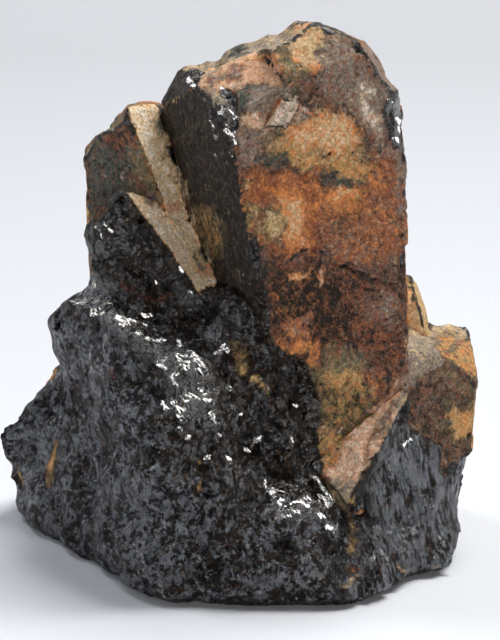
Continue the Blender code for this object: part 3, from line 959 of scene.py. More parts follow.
# %% [markdown]
# ## The stains that the picture shows
# First each crystal face in the picture gets one coat, found by a pixel on it. Then regions are laid over
# the faces in order, as a painter glazes: a row has the coat, how soft its rim is, and the corners of its
# outline. A region reaches only the faces that lie under it, so no stain runs over an edge on to the next
# face.

# %% One coat for each crystal face in the picture
FACES = [
    ("thin", (210, 185)), ("brown", (327, 243)), ("terrace", (240, 84)), ("grey tan", (245, 48)),
    ("gold", (313, 53)), ("purple", (375, 66)), ("warm tan", (160, 170)), ("thin", (163, 248)),
    ("warm tan", (184, 244)), ("warm tan", (152, 172)), ("dark olive", (117, 170)),
    ("dark olive", (114, 120)), ("grey tan", (438, 337)), ("brown", (443, 405)), ("ochre", (419, 305)),
    ("ochre", (414, 318)), ("pink", (372, 430)), ("pink", (350, 467)), ("grey tan", (401, 405)),
    ("chip", (284, 115)), ("warm tan", (146, 116)), ("thin", (176, 88)), ("gold", (466, 356)),
]
for coat, (px, py) in FACES:
    lay(coat, (patch_at == patch_of[seen_face(px, py)]).astype(float))
print("faces:", len(FACES))

# %% The stains of the tall crystal, above the crack
REGIONS = [
    ("pink rust", 4, [(252, 56), (284, 58), (289, 86), (262, 84), (244, 76)]),
    ("dull grey", 3, [(204, 58), (238, 38), (292, 22), (286, 54), (262, 42), (232, 52), (206, 64)]),
    ("purple", 2, [(198, 84), (206, 76), (242, 64), (248, 70), (214, 86), (202, 92)]),
    # Painted reflection: the next grey patch stands for a smooth facet that mirrors a lamp.
    ("dull grey", 1.2, [(203, 93), (218, 90), (224, 99), (220, 107), (213, 108)]),
    ("orange", 1.2, [(203, 62), (222, 56), (226, 62), (206, 69)]),
    ("slate", 1.5, [(226, 48), (244, 41), (248, 47), (230, 54)]),
    ("dull grey", 1.5, [(254, 40), (276, 32), (280, 38), (258, 44)]),
    ("gold", 1.5, [(244, 52), (262, 44), (266, 56), (250, 62)]),
    ("orange", 2, [(290, 20), (308, 20), (314, 32), (298, 32)]),
    ("light gold", 5, [(288, 32), (318, 30), (334, 44), (326, 70), (314, 84), (302, 76), (294, 52)]),
    ("orange", 3, [(300, 50), (310, 52), (318, 80), (308, 80)]),
    ("dark olive", 4, [(282, 48), (294, 46), (302, 76), (300, 94), (288, 90)]),
    ("purple", 5, [(326, 34), (352, 44), (380, 82), (384, 108), (362, 112), (330, 100), (310, 88),
        (318, 70)]),
    ("chip", 4, [(354, 94), (370, 92), (382, 120), (384, 142), (372, 134), (358, 112)]),
    ("purple grey", 2, [(378, 76), (392, 82), (400, 100), (386, 100)]),
    ("chip", 2, [(348, 84), (370, 82), (380, 88), (379, 96), (364, 94), (352, 91)]),
    ("pale", 1.2, [(364, 106), (368, 104), (377, 126), (374, 128)]),
    ("slate", 3, [(236, 86), (262, 86), (264, 108), (242, 112), (234, 100)]),
    ("purple grey", 2, [(250, 88), (292, 84), (298, 96), (262, 104), (246, 104)]),
    ("pink", 3, [(236, 112), (262, 104), (290, 96), (302, 104), (270, 106), (262, 136), (244, 126)]),
    ("pale", 2, [(284, 96), (300, 100), (306, 112), (296, 108)]),
    ("chip", 2, [(266, 106), (290, 104), (302, 116), (280, 132), (264, 122)]),
    ("orange", 6, [(300, 116), (344, 112), (362, 136), (356, 160), (318, 150), (286, 146), (282, 134)]),
    ("gold", 6, [(262, 138), (290, 142), (330, 152), (370, 156), (378, 172), (330, 178), (290, 172),
        (268, 158)]),
    ("purple", 4, [(238, 118), (256, 132), (266, 152), (262, 168), (240, 168)]),
    ("slate", 3, [(260, 154), (284, 156), (286, 168), (264, 170)]),
    ("red", 5, [(244, 170), (290, 172), (322, 178), (320, 250), (256, 250), (248, 210)]),
    ("olive", 5, [(258, 204), (280, 204), (284, 232), (268, 244), (258, 230)]),
    ("orange", 5, [(284, 194), (304, 200), (304, 244), (284, 238)]),
    ("red", 2.5, [(304, 176), (316, 178), (314, 252), (304, 252)]),
    ("warm", 5, [(322, 180), (366, 184), (368, 214), (346, 224), (322, 214)]),
    ("orange", 2, [(336, 182), (352, 183), (348, 196), (332, 194)]),
    ("slate", 3, [(322, 174), (346, 176), (344, 184), (322, 182)]),
    ("rust", 6, [(368, 160), (404, 150), (412, 260), (372, 262), (330, 256), (322, 222), (350, 228),
        (370, 200)]),
    ("purple", 4, [(392, 146), (412, 146), (412, 210), (398, 210)]),
    ("warm", 4, [(362, 168), (380, 170), (384, 190), (368, 192)]),
]

# %% The stains of the tall crystal, below the crack
REGIONS += [
    ("spotted", 6, [(262, 262), (320, 264), (346, 274), (350, 330), (318, 366), (290, 362), (268, 300)]),
    ("dark rust", 3, [(266, 252), (318, 252), (332, 262), (308, 268), (272, 266)]),
    ("orange", 1.2, [(288, 271), (304, 270), (310, 277), (296, 279)]),
    ("dark rust", 7, [(340, 270), (402, 290), (410, 376), (378, 392), (362, 372), (348, 336)]),
    ("purple", 5, [(372, 296), (396, 300), (400, 322), (376, 320)]),
    ("dark olive", 5, [(326, 352), (368, 346), (372, 370), (334, 380), (320, 368)]),
    ("rust", 2.5, [(286, 314), (306, 310), (311, 334), (296, 340), (284, 328)]),
    ("warm", 2.5, [(282, 342), (304, 336), (308, 352), (288, 356)]),
    ("warm", 2, [(308, 344), (318, 343), (319, 362), (311, 364)]),
    ("khaki", 5, [(316, 368), (336, 380), (370, 370), (374, 408), (352, 428), (322, 430), (314, 400)]),
    ("rust", 4, [(366, 372), (380, 376), (376, 402), (366, 400)]),
    ("gold", 3, [(328, 374), (358, 374), (362, 392), (336, 388)]),
    ("dull gold", 3, [(320, 430), (356, 430), (348, 456), (324, 474), (318, 450)]),
    ("pink", 3, [(320, 474), (346, 436), (366, 410), (382, 418), (380, 446), (354, 484), (334, 486)]),
    ("dull grey", 3, [(332, 476), (356, 478), (354, 500), (338, 512)]),
    ("purple", 3, [(372, 414), (402, 378), (414, 374), (410, 392), (384, 436)]),
    ("pink", 3, [(366, 410), (388, 394), (400, 380), (404, 388), (388, 410), (378, 424)]),
    ("ochre", 2, [(336, 508), (352, 500), (356, 530), (346, 536)]),
]

# %% The stains of the side crystals
REGIONS += [
    ("chip", 4, [(404, 340), (438, 334), (446, 350), (434, 374), (404, 380)]),
    ("dull grey", 3, [(408, 340), (438, 340), (440, 360), (412, 376)]),
    ("dull gold", 4, [(436, 332), (482, 336), (480, 382), (458, 378), (442, 362)]),
    ("dark olive", 3, [(442, 366), (472, 378), (470, 390), (440, 382)]),
    ("brown", 5, [(400, 382), (440, 378), (476, 388), (474, 412), (430, 430), (396, 420)]),
    ("gold", 4, [(438, 408), (476, 408), (476, 444), (456, 446), (442, 432)]),
    ("dark brown", 4, [(392, 398), (420, 392), (442, 400), (440, 432), (412, 424)]),
    ("orange", 3, [(404, 288), (412, 290), (426, 330), (414, 336), (406, 320)]),
    ("blue grey", 1.2, [(151, 120), (160, 124), (166, 158), (157, 160), (152, 140)]),
    ("blue grey", 1.2, [(161, 158), (172, 160), (183, 178), (193, 206), (184, 202), (172, 180)]),
    ("blue tan", 2, [(190, 214), (200, 212), (206, 236), (196, 232)]),
    ("pink rust", 2, [(163, 203), (180, 203), (182, 214), (166, 214)]),
    ("purple", 1.5, [(132, 178), (142, 184), (160, 202), (154, 206), (140, 194)]),
    ("dark rust", 4, [(108, 126), (132, 124), (136, 148), (114, 150)]),
    ("slate", 4, [(84, 150), (112, 150), (134, 160), (128, 174), (84, 176)]),
    ("pale", 0.7, [(100, 176), (118, 177), (130, 174), (131, 176), (118, 179), (102, 178)]),
    ("slate", 4, [(84, 180), (124, 180), (112, 206), (86, 210)]),
    ("khaki", 4, [(196, 204), (216, 210), (226, 250), (212, 258), (200, 236)]),
    ("blue grey", 1.2, [(193, 249), (213, 250), (216, 266), (198, 268)]),
    ("pink rust", 2, [(193, 268), (217, 266), (212, 280), (200, 280)]),
    ("gold", 0.8, [(246, 180), (249, 180), (257, 246), (254, 248)]),
    ("bare", 3, [(250, 250), (262, 250), (270, 310), (260, 320)]),
]
RIM_WIDTH, REGION_RAGGEDNESS = 2.5, 1.7
WORN_SHARE = 0.7

for coat, rim, corners in REGIONS:
    lay(coat, region_cover(corners, RIM_WIDTH * rim, REGION_RAGGEDNESS) * faces_under(corners))
worn = smooth_step(0.7, 0.1, rim_gap) * smooth_step(0.35, 0.6, bites + 0.35)
for share in shares.values():
    share *= (1.0 - smooth_step(0.3, 0.7, broken)) * (1.0 - WORN_SHARE * worn)
print("regions:", len(REGIONS))

# %% [markdown]
# ## Small marks
# Pale scratches and chips on the rims, dark lines in the cracks and a few rusty or golden spots on the
# ore are strokes with a coat of their own. Two grey strokes are painted reflections on glassy facets, and
# a pale spot and the grey-tan line along the foot are partly painted highlight and reflection.

# %% The stains on the broken ore
MARK_STRENGTH, MARK_SOFTNESS = 0.85, 0.6
ORE_STAINS = [
    # Painted reflections: the next two grey strokes stand for glassy facets that mirror light.
    ("grey", 0.30, [(218, 112), (226, 126), (236, 132)]),
    ("grey", 0.24, [(386, 92), (392, 100)]),
    ("pale", 0.30, [(355, 88), (364, 87), (372, 90)]),
    ("pale", 0.26, [(374, 88), (377, 94)]),
    ("pale", 0.24, [(322, 430), (333, 426), (339, 430), (345, 423), (354, 421)]),
    ("pink", 0.26, [(318, 264), (322, 276), (321, 289)]),
    ("bare", 0.24, [(286, 254), (300, 250), (318, 252), (340, 261), (360, 276), (402, 287)]),
    ("bare", 0.18, [(246, 168), (275, 172), (300, 172)]),
    ("bare", 0.16, [(312, 148), (322, 156), (330, 148)]),
    ("khaki", 1.0, [(236, 348), (240, 362), (238, 372)]),
    ("ochre", 0.45, [(238, 372), (252, 380), (266, 388)]),
    # Partly a painted highlight: the next pale spot stands for a small pale tan place that glints.
    ("pale", 0.25, [(262, 382), (270, 387)]),
    ("gold", 0.20, [(201, 456), (197, 472), (195, 490)]),
    ("dark rust", 0.4, [(114, 372), (117, 380)]),
    ("dark rust", 0.4, [(98, 430), (101, 442)]),
    ("khaki", 0.26, [(88, 458), (94, 466)]),
    ("dark rust", 0.3, [(140, 430), (150, 424)]),
    ("gold", 0.5, [(16, 470), (24, 484)]),
    ("tan", 0.6, [(36, 396), (50, 386)]),
    # Partly a painted reflection: the next grey-tan line along the foot stands for a tan line and for floor
    # light on the stone.
    ("grey tan", 0.26, [(330, 582), (352, 572), (368, 560), (390, 556), (410, 562), (446, 548)]),
    ("khaki", 0.8, [(346, 522), (352, 548)]),
    ("dark rust", 0.5, [(120, 286), (150, 300), (170, 292)]),
    ("dark rust", 0.5, [(146, 250), (160, 266)]),
    ("dark rust", 0.35, [(352, 562), (364, 562)]),
]
for coat, radius, path in ORE_STAINS:
    lay(coat, MARK_STRENGTH * stroke_cover(path, radius, MARK_SOFTNESS))
print("ore stains:", len(ORE_STAINS))

# %% [markdown]
# ## The bloom and painted sheen on the ore
# Much of the broken ore has a bluish, satiny bloom, and the deep valley beside the tall crystal has none:
# it is brown-black and wet-looking. The bloom's bluish grey is partly real and partly a painted reflection
# of the bright surroundings, laid into the colour as flecks. The bloom is one more share, high on the outer
# lumps, low in the valley and nought where the ore is polished, apart from the satin places. All shares
# are then stored on the skin under their names.

# %% Where the ore has its bloom and painted sheen
NO_BLOOM_OR_SHEEN = [
    [(90, 284), (180, 250), (290, 300), (325, 400), (345, 520), (250, 500), (184, 470), (160, 430),
        (160, 380), (60, 300)],
    [(88, 200), (140, 190), (190, 260), (150, 300), (80, 290)],
    [(158, 112), (162, 84), (186, 62), (206, 66), (202, 100), (182, 114)],
    [(346, 470), (372, 430), (384, 436), (372, 480), (366, 556), (348, 556)],
]
BARE_STRENGTH, BLOOM_SHEEN_RIM, LESS_ON_CRYSTAL = 0.85, 14.0, 0.8

bloom_and_sheen = np.ones(point_count)
for corners in NO_BLOOM_OR_SHEEN:
    bloom_and_sheen = np.minimum(bloom_and_sheen, 1.0 - BARE_STRENGTH * region_cover(corners, BLOOM_SHEEN_RIM))
bloom_and_sheen = np.maximum(bloom_and_sheen * (1.0 - polish), satin) * (1.0 - LESS_ON_CRYSTAL * is_crystal)

kept_on_skin = {
    **shares, "bloom_and_sheen": bloom_and_sheen, "broken": broken, "polish": polish, "ribbed": ribbed,
    "glint": glint, "satin": satin, "lamp_hidden": lamp_hidden,
}
for name, values in kept_on_skin.items():
    share = skin_mesh.attributes.new(name, "FLOAT", "POINT")
    share.data.foreach_set("value", np.clip(values, 0.0, 1.0).astype(np.float32))
print("mean bloom:", round(float(bloom_and_sheen.mean()), 2))

# %% [markdown]
# ## The material
# Aeschynite is a heavy oxide with a refractive index of about 2.2, so its fresh fracture is as bright as
# resin or pitch: black inside, with hard white glints. The crust on its old faces is earthy iron oxide
# and clay, dull and grainy, a thin layer that stands a little proud. One material shows both, because
# they meet grain by grain. A clear coat is the portable way to carry the mineral's gloss: its strength
# may vary from grain to grain, and its refractive index and roughness stay the same all over.

# %% Weathered aeschynite: helpers
stone, tree, shader = new_material("weathered_aeschynite")
place = add_node(tree, "TexCoord", None, "Object")
SEED_STEP = (0.031, 0.017, 0.023)
HALF = (0.5, 0.5, 0.5)


def per_mm(size):
    """A noise scale that makes a pattern of a given size in millimetres."""
    return 1.0 / (size * MM)


def clouds(size, detail, rough, seed=0.0, where=place):
    """A cloudy pattern of a size in millimetres; another seed gives another pattern."""
    moved_place = add_node(tree, "VectorMath", {
        0: where, 1: tuple(seed * step for step in SEED_STEP),
    }, "Vector", operation="ADD")
    return add_node(tree, "TexNoise", {
        "Vector": moved_place, "Scale": per_mm(size), "Detail": detail, "Roughness": rough,
    }, "Fac")


def paint(code):
    return (*srgb(code), 1.0)


print("pattern nodes:", len(tree.nodes))

# %% [markdown]
# ## Streaks
# Seen close, the ore's flecks and the crust's fibres run in streaks, and a streak's direction changes
# from patch to patch, because each grain of the mass grew its own way. One stretched pattern would comb
# the whole stone in one direction. So a cell pattern gives every patch an angle, and the coordinates are
# turned by it before they are stretched. On the right lump all streaks follow the ribs.

# %% Weathered aeschynite: streaks that turn from patch to patch
STREAK_PATCH, STREAK_TURN, STREAK_FLATNESS = 2.6, 3.0, 0.66
FIBRE_PATCH, FIBRE_TURN = 5.0, 2.4
TURN_AXIS = (0.35, 0.93, 0.1)
RIB_LEAN, RIB_FLATNESS, FIBRE_FLATNESS = 0.22, 0.16, 0.70
WANDER_SIZE, PATCH_WANDER = 1.6, 0.6

is_fracture = add_node(tree, "Attribute", None, "Fac", attribute_name="broken")
is_ribbed = add_node(tree, "Attribute", None, "Fac", attribute_name="ribbed")
bloom_and_sheen_share = add_node(tree, "Attribute", None, "Fac", attribute_name="bloom_and_sheen")
polished = add_node(tree, "Attribute", None, "Fac", attribute_name="polish")
wander = add_node(tree, "TexNoise", {"Vector": place, "Scale": per_mm(WANDER_SIZE), "Detail": 4.0}, "Color")
wander = add_node(tree, "VectorMath", {0: wander, 1: HALF}, "Vector", operation="SUBTRACT")


def shifted(where, amount):
    """Coordinates that wander by up to an amount in millimetres, which bends straight cells."""
    return add_node(tree, "VectorMath", {
        0: where,
        1: add_node(tree, "VectorMath", {
            0: wander, "Scale": 2.0 * amount * MM,
        }, "Vector", operation="SCALE"),
    }, "Vector", operation="ADD")


def patch_turn(size, most):
    """An angle that is even within a patch of the given size and differs from patch to patch."""
    cells = add_node(tree, "TexVoronoi", {"Vector": shifted(place, PATCH_WANDER), "Scale": per_mm(size)})
    parts = add_node(tree, "SeparateColor", {0: cells.outputs["Color"]})
    return add_node(tree, "Math", {
        0: add_node(tree, "Math", {0: parts.outputs[0], 1: 0.5}, 0, operation="SUBTRACT"),
        1: most,
    }, 0, operation="MULTIPLY")


def drawn_out(angle, flatness):
    """Coordinates in which a pattern is drawn out along a line that leans by an angle from upright."""
    turned = add_node(tree, "VectorRotate", {
        "Vector": place, "Axis": TURN_AXIS, "Angle": angle,
    }, 0, rotation_type="AXIS_ANGLE")
    return add_node(tree, "VectorMath", {
        0: turned, 1: (1.0, 1.0, flatness),
    }, "Vector", operation="MULTIPLY")


streak_turn = add_node(tree, "Mix", {
    0: is_ribbed, 2: patch_turn(STREAK_PATCH, STREAK_TURN), 3: RIB_LEAN,
}, 0, data_type="FLOAT")
streaks = drawn_out(streak_turn, STREAK_FLATNESS)
ribs = drawn_out(RIB_LEAN, RIB_FLATNESS)
streaks = add_node(tree, "Mix", {0: is_ribbed, 4: streaks, 5: ribs}, 1, data_type="VECTOR")
fibres = drawn_out(patch_turn(FIBRE_PATCH, FIBRE_TURN), FIBRE_FLATNESS)
print("streak nodes:", len(tree.nodes))

# %% [markdown]
# ## Chips
# Below the size of the net the fracture goes on in flat chips that each lean their own way. A cell
# pattern has a random colour for each cell. Read as a direction, that colour makes the cell's height a
# plane with its own slope, and one channel of it gives the chip a tone of its own. Two sizes are added,
# large chips with small ones on them.

# %% Weathered aeschynite: the chips
CHIP_WARP = 0.30
CHIP_SIZES = [(0.74, 0.80), (0.30, 0.60)]
SMALL_CHIP_SHARE = 0.45

warped = shifted(streaks, CHIP_WARP)
chip_height, chip_tone = None, None
for size, lean in CHIP_SIZES:
    cells = add_node(tree, "TexVoronoi", {"Vector": warped, "Scale": per_mm(size)})
    way = add_node(tree, "VectorMath", {
        0: cells.outputs["Color"], 1: HALF,
    }, "Vector", operation="SUBTRACT")
    local = add_node(tree, "VectorMath", {
        0: warped, 1: cells.outputs["Position"],
    }, "Vector", operation="SUBTRACT")
    slope = add_node(tree, "Math", {
        0: add_node(tree, "VectorMath", {0: way, 1: local}, "Value", operation="DOT_PRODUCT"),
        1: 2.0 * lean,
    }, 0, operation="MULTIPLY")
    tone = add_node(tree, "SeparateColor", {0: cells.outputs["Color"]}, 1)
    if chip_height is None:
        chip_height, chip_tone = slope, tone
    else:
        chip_height = add_node(tree, "Math", {0: chip_height, 1: slope}, 0, operation="ADD")
        chip_tone = add_node(tree, "Mix", {
            0: SMALL_CHIP_SHARE, 2: chip_tone, 3: tone,
        }, 0, data_type="FLOAT")
print("chip nodes:", len(tree.nodes))

# %% [markdown]
# ## Glints
# A glint is a facet that mirrors a lamp into the eye, so its normal lies half-way between the two
# directions. In the glint strokes the normal is set to that half-way direction, for the photograph's eye
# and for the lamp that the place can see. It is a fixed direction in the stone, as a real facet has, so
# from other sides these facets flash less or not at all. Cells and fine lines turn it a little here and
# there, which breaks a stroke into steps and scratches.

# %% Weathered aeschynite: the glints
FACET_SIZE, FACET_SPREAD = 1.2, 0.11
STRIA_SIZE, STRIA_ANGLE, STRIA_FLATNESS, STRIA_SPREAD = 0.24, 0.95, 0.15, 0.72
STRIA_FOLLOWS, FACET_WANDER = 0.25, 0.5
RAGGED_GLINT = 0.36

to_eye = (eye - AIM).normalized()
glint_ways = [
    (to_eye + (Vector(lamp) - AIM).normalized()).normalized() for lamp in (OVERHEAD, FRONT_FILL)
]
glint_way = add_node(tree, "Mix", {
    0: add_node(tree, "Attribute", None, "Fac", attribute_name="lamp_hidden"),
    4: tuple(glint_ways[0]),
    5: tuple(glint_ways[1]),
}, 1, data_type="VECTOR")
cells = add_node(tree, "TexVoronoi", {"Vector": shifted(place, FACET_WANDER), "Scale": per_mm(FACET_SIZE)})
facet_tilt = add_node(tree, "VectorMath", {
    0: add_node(tree, "VectorMath", {
        0: cells.outputs["Color"], 1: HALF,
    }, "Vector", operation="SUBTRACT"),
    "Scale": FACET_SPREAD,
}, "Vector", operation="SCALE")
stria_noise = add_node(tree, "TexNoise", {
    "Vector": drawn_out(
        add_node(tree, "Math", {
            0: STRIA_ANGLE,
            1: add_node(tree, "Math", {0: streak_turn, 1: STRIA_FOLLOWS}, 0, operation="MULTIPLY"),
        }, 0, operation="ADD"),
        STRIA_FLATNESS,
    ),
    "Scale": per_mm(STRIA_SIZE),
    "Detail": 2.0,
    "Roughness": 0.5,
})
stria_tilt = add_node(tree, "VectorMath", {
    0: stria_noise.outputs["Color"], 1: HALF,
}, "Vector", operation="SUBTRACT")
stria_tilt = add_node(tree, "VectorMath", {
    0: stria_tilt, "Scale": STRIA_SPREAD,
}, "Vector", operation="SCALE")
facet_way = add_node(tree, "VectorMath", {
    0: glint_way,
    1: add_node(tree, "VectorMath", {0: facet_tilt, 1: stria_tilt}, "Vector", operation="ADD"),
}, "Vector", operation="ADD")
ragged_rim = add_node(tree, "Math", {
    0: add_node(tree, "Math", {0: stria_noise.outputs["Fac"], 1: 0.5}, 0, operation="SUBTRACT"),
    1: RAGGED_GLINT,
}, 0, operation="MULTIPLY")
glinting = add_node(tree, "MapRange", {
    "Value": add_node(tree, "Math", {
        0: add_node(tree, "Attribute", None, "Fac", attribute_name="glint"), 1: ragged_rim,
    }, 0, operation="ADD"),
    "From Min": 0.47,
    "From Max": 0.5,
}, "Result", interpolation_type="SMOOTHSTEP")
print("facet nodes:", len(tree.nodes))

# %% [markdown]
# ## The bare mineral
# Its ground is black with a brown cast. Where the ore is bloomed, slate-grey flecks lie on it, partly real
# bloom and partly a painted reflection of the bright surroundings: more of them on chips with a light tone,
# and in drifts that come and go over a millimetre or two. Brown specks of iron oxide lie everywhere, and
# golden ones mostly where there is no bloom; the golden specks are partly painted glints. The bare places
# on the crystal faces show a finer, fibrous black-brown.

# %% Weathered aeschynite: the mineral
FLECKS_BY_CHIP, FLECKS_BY_CLOUD, FLECK_DRIFT = 0.3, 1.5, 0.8
FLECKS_ON_RIBS, FLECKS_ON_SATIN = 0.04, 0.12

slow_clouds = clouds(2.4, 4.0, 0.6)
fleck_clouds = clouds(0.42, 6.0, 0.74, 1.0, streaks)
fibre_clouds = clouds(0.42, 6.0, 0.75, 9.0, fibres)
bare_face = add_node(tree, "Mix", {
    0: add_node(tree, "MapRange", {
        "Value": fibre_clouds, "From Min": 0.4, "From Max": 0.64,
    }, "Result", interpolation_type="SMOOTHSTEP"),
    6: paint("#0b0a09"),
    7: paint("#2b251f"),
}, 2, data_type="RGBA")
sheen_fleck_level = add_node(tree, "Math", {
    0: add_node(tree, "Math", {0: chip_tone, 1: FLECKS_BY_CHIP}, 0, operation="MULTIPLY"),
    1: add_node(tree, "Math", {0: fleck_clouds, 1: FLECKS_BY_CLOUD}, 0, operation="MULTIPLY"),
}, 0, operation="ADD")
sheen_fleck_level = add_node(tree, "Math", {
    0: sheen_fleck_level,
    1: add_node(tree, "Math", {0: is_ribbed, 1: FLECKS_ON_RIBS}, 0, operation="MULTIPLY"),
}, 0, operation="ADD")
sheen_fleck_level = add_node(tree, "Math", {
    0: sheen_fleck_level,
    1: add_node(tree, "Math", {
        0: add_node(tree, "Math", {0: clouds(1.5, 3.0, 0.6, 14.0), 1: 0.5}, 0, operation="SUBTRACT"),
        1: FLECK_DRIFT,
    }, 0, operation="MULTIPLY"),
}, 0, operation="ADD")
# Painted sheen: the satin places get more of the lighter grey flecks.
sheen_fleck_level = add_node(tree, "Math", {
    0: sheen_fleck_level,
    1: add_node(tree, "Math", {
        0: add_node(tree, "Attribute", None, "Fac", attribute_name="satin"), 1: FLECKS_ON_SATIN,
    }, 0, operation="MULTIPLY"),
}, 0, operation="ADD")
sheen_flecks = add_node(tree, "MapRange", {
    "Value": sheen_fleck_level, "From Min": 0.86, "From Max": 1.02,
}, "Result", interpolation_type="SMOOTHSTEP")
fracture = add_node(tree, "Mix", {
    0: add_node(tree, "MapRange", {
        "Value": slow_clouds, "From Min": 0.45, "From Max": 0.65,
    }, "Result", interpolation_type="SMOOTHSTEP"),
    6: paint("#050404"),
    7: paint("#1a110b"),
}, 2, data_type="RGBA")
# Partly painted reflection: the slate-grey fleck colour stands for real bloom and for the bright
# surroundings mirrored by the satiny ore.
fleck_sheen_tone = add_node(tree, "Mix", {
    0: add_node(tree, "MapRange", {
        "Value": clouds(0.9, 4.0, 0.7, 16.0), "From Min": 0.42, "From Max": 0.6,
    }, "Result", interpolation_type="SMOOTHSTEP"),
    6: paint("#363b42"),
    7: paint("#4b5159"),
}, 2, data_type="RGBA")
fracture = add_node(tree, "Mix", {
    0: add_node(tree, "Math", {0: sheen_flecks, 1: bloom_and_sheen_share}, 0, operation="MULTIPLY"),
    6: fracture,
    7: fleck_sheen_tone,
}, 2, data_type="RGBA")
brown_specks = add_node(tree, "MapRange", {
    "Value": clouds(0.8, 6.0, 0.72, 2.0), "From Min": 0.57, "From Max": 0.66,
}, "Result", interpolation_type="SMOOTHSTEP")
fracture = add_node(tree, "Mix", {
    0: add_node(tree, "Math", {
        0: brown_specks,
        1: add_node(tree, "Mix", {0: bloom_and_sheen_share, 2: 0.95, 3: 0.6}, 0, data_type="FLOAT"),
    }, 0, operation="MULTIPLY"),
    6: fracture,
    7: paint("#432a1b"),
}, 2, data_type="RGBA")
# Partly painted glints: the golden specks, mostly in the valley, stand for small warm glints as well as
# golden grains.
gold_and_glint_level = add_node(tree, "Math", {
    0: clouds(0.5, 6.0, 0.84, 11.0),
    1: add_node(tree, "Math", {0: bloom_and_sheen_share, 1: 0.05}, 0, operation="MULTIPLY"),
}, 0, operation="SUBTRACT")
gold_specks_and_glints = add_node(tree, "MapRange", {
    "Value": gold_and_glint_level, "From Min": 0.565, "From Max": 0.64,
}, "Result", interpolation_type="SMOOTHSTEP")
gold_specks_and_glints = add_node(tree, "Math", {
    0: gold_specks_and_glints,
    1: add_node(tree, "Mix", {0: bloom_and_sheen_share, 2: 0.8, 3: 0.1}, 0, data_type="FLOAT"),
}, 0, operation="MULTIPLY")
fracture = add_node(tree, "Mix", {0: polished, 6: fracture, 7: paint("#0a0807")}, 2, data_type="RGBA")
fracture = add_node(tree, "Mix", {0: gold_specks_and_glints, 6: fracture, 7: paint("#7d6444")}, 2, data_type="RGBA")
colour = add_node(tree, "Mix", {0: is_fracture, 6: bare_face, 7: fracture}, 2, data_type="RGBA")
print("mineral nodes:", len(tree.nodes))

# %% [markdown]
# ## The grains of the crust
# The crust could be one smooth colour map, but the photograph shows a crowd of grains. So for each colour
# of grain a fine cloud pattern is added to its share, and that grain lies where the sum is over about a
# half. A share of 0.9 gives a dense coat of the colour, and one of 0.2 a sprinkle. Dark specks and a
# change of shade from grain to grain finish it.

# %% Weathered aeschynite: the grains of the crust
GRAIN_GAIN, GRAIN_RIM = 3.0, 0.26
SPECK_STRENGTH = 0.65

grain_shade = add_node(tree, "MapRange", {
    "Value": clouds(0.3, 6.0, 0.8, 3.0),
    "From Min": 0.32,
    "From Max": 0.68,
    "To Min": 0.55,
    "To Max": 1.55,
}, "Result", interpolation_type="SMOOTHSTEP")
specks = add_node(tree, "MapRange", {
    "Value": clouds(0.4, 6.0, 0.85, 8.0), "From Min": 0.58, "From Max": 0.66,
}, "Result", interpolation_type="SMOOTHSTEP")
covered = None
for seed, (name, code) in enumerate(GRAINS.items()):
    unevenness = add_node(tree, "Math", {
        0: add_node(tree, "Math", {
            0: clouds(0.7, 8.0, 0.84, 5.0 + seed, fibres), 1: 0.5,
        }, 0, operation="SUBTRACT"),
        1: GRAIN_GAIN,
    }, 0, operation="MULTIPLY")
    here = add_node(tree, "MapRange", {
        "Value": add_node(tree, "Math", {
            0: add_node(tree, "Attribute", None, "Fac", attribute_name=name), 1: unevenness,
        }, 0, operation="ADD"),
        "From Min": 0.5 - GRAIN_RIM,
        "From Max": 0.5 + GRAIN_RIM,
    }, "Result", interpolation_type="SMOOTHSTEP")
    colour = add_node(tree, "Mix", {0: here, 6: colour, 7: paint(code)}, 2, data_type="RGBA")
    if covered is None:
        covered = here
    else:
        covered = add_node(tree, "Math", {0: covered, 1: here}, 0, operation="MAXIMUM")
colour = add_node(tree, "Mix", {
    0: add_node(tree, "Math", {0: specks, 1: SPECK_STRENGTH}, 0, operation="MULTIPLY"),
    6: colour,
    7: paint("#2c2824"),
}, 2, data_type="RGBA")
tree.links.new(
    add_node(tree, "Mix", {
        0: covered,
        6: colour,
        7: add_node(tree, "VectorMath", {0: colour, "Scale": grain_shade}, "Vector", operation="SCALE"),
    }, 2, data_type="RGBA"),
    shader.inputs["Base Color"],
)
print("grain nodes:", len(tree.nodes))

# %% [markdown]
# ## Gloss and relief
# The clear coat is strong on glints and polished places, patchy on chips and flecks, weak on the bare
# crystal faces and absent on the crust, which is rough. The relief adds the chips' slopes, fine grit and
# the crust's own thickness to one height. A bump turns that height into normals, and the glint facets
# replace them where no crust lies.

# %% Weathered aeschynite: gloss and relief
COAT_IOR, COAT_ROUGHNESS = 2.1, 0.09
GROUND_IOR, GROUND_REFLECTION = 1.42, 0.25
GRIT_HEIGHT, FIBRE_HEIGHT, CRUST_HEIGHT = 0.12 * MM, 0.1 * MM, 0.14 * MM
CRUST_ROUGHNESS = 0.86
SHARP_ANGLE = math.radians(40.0)

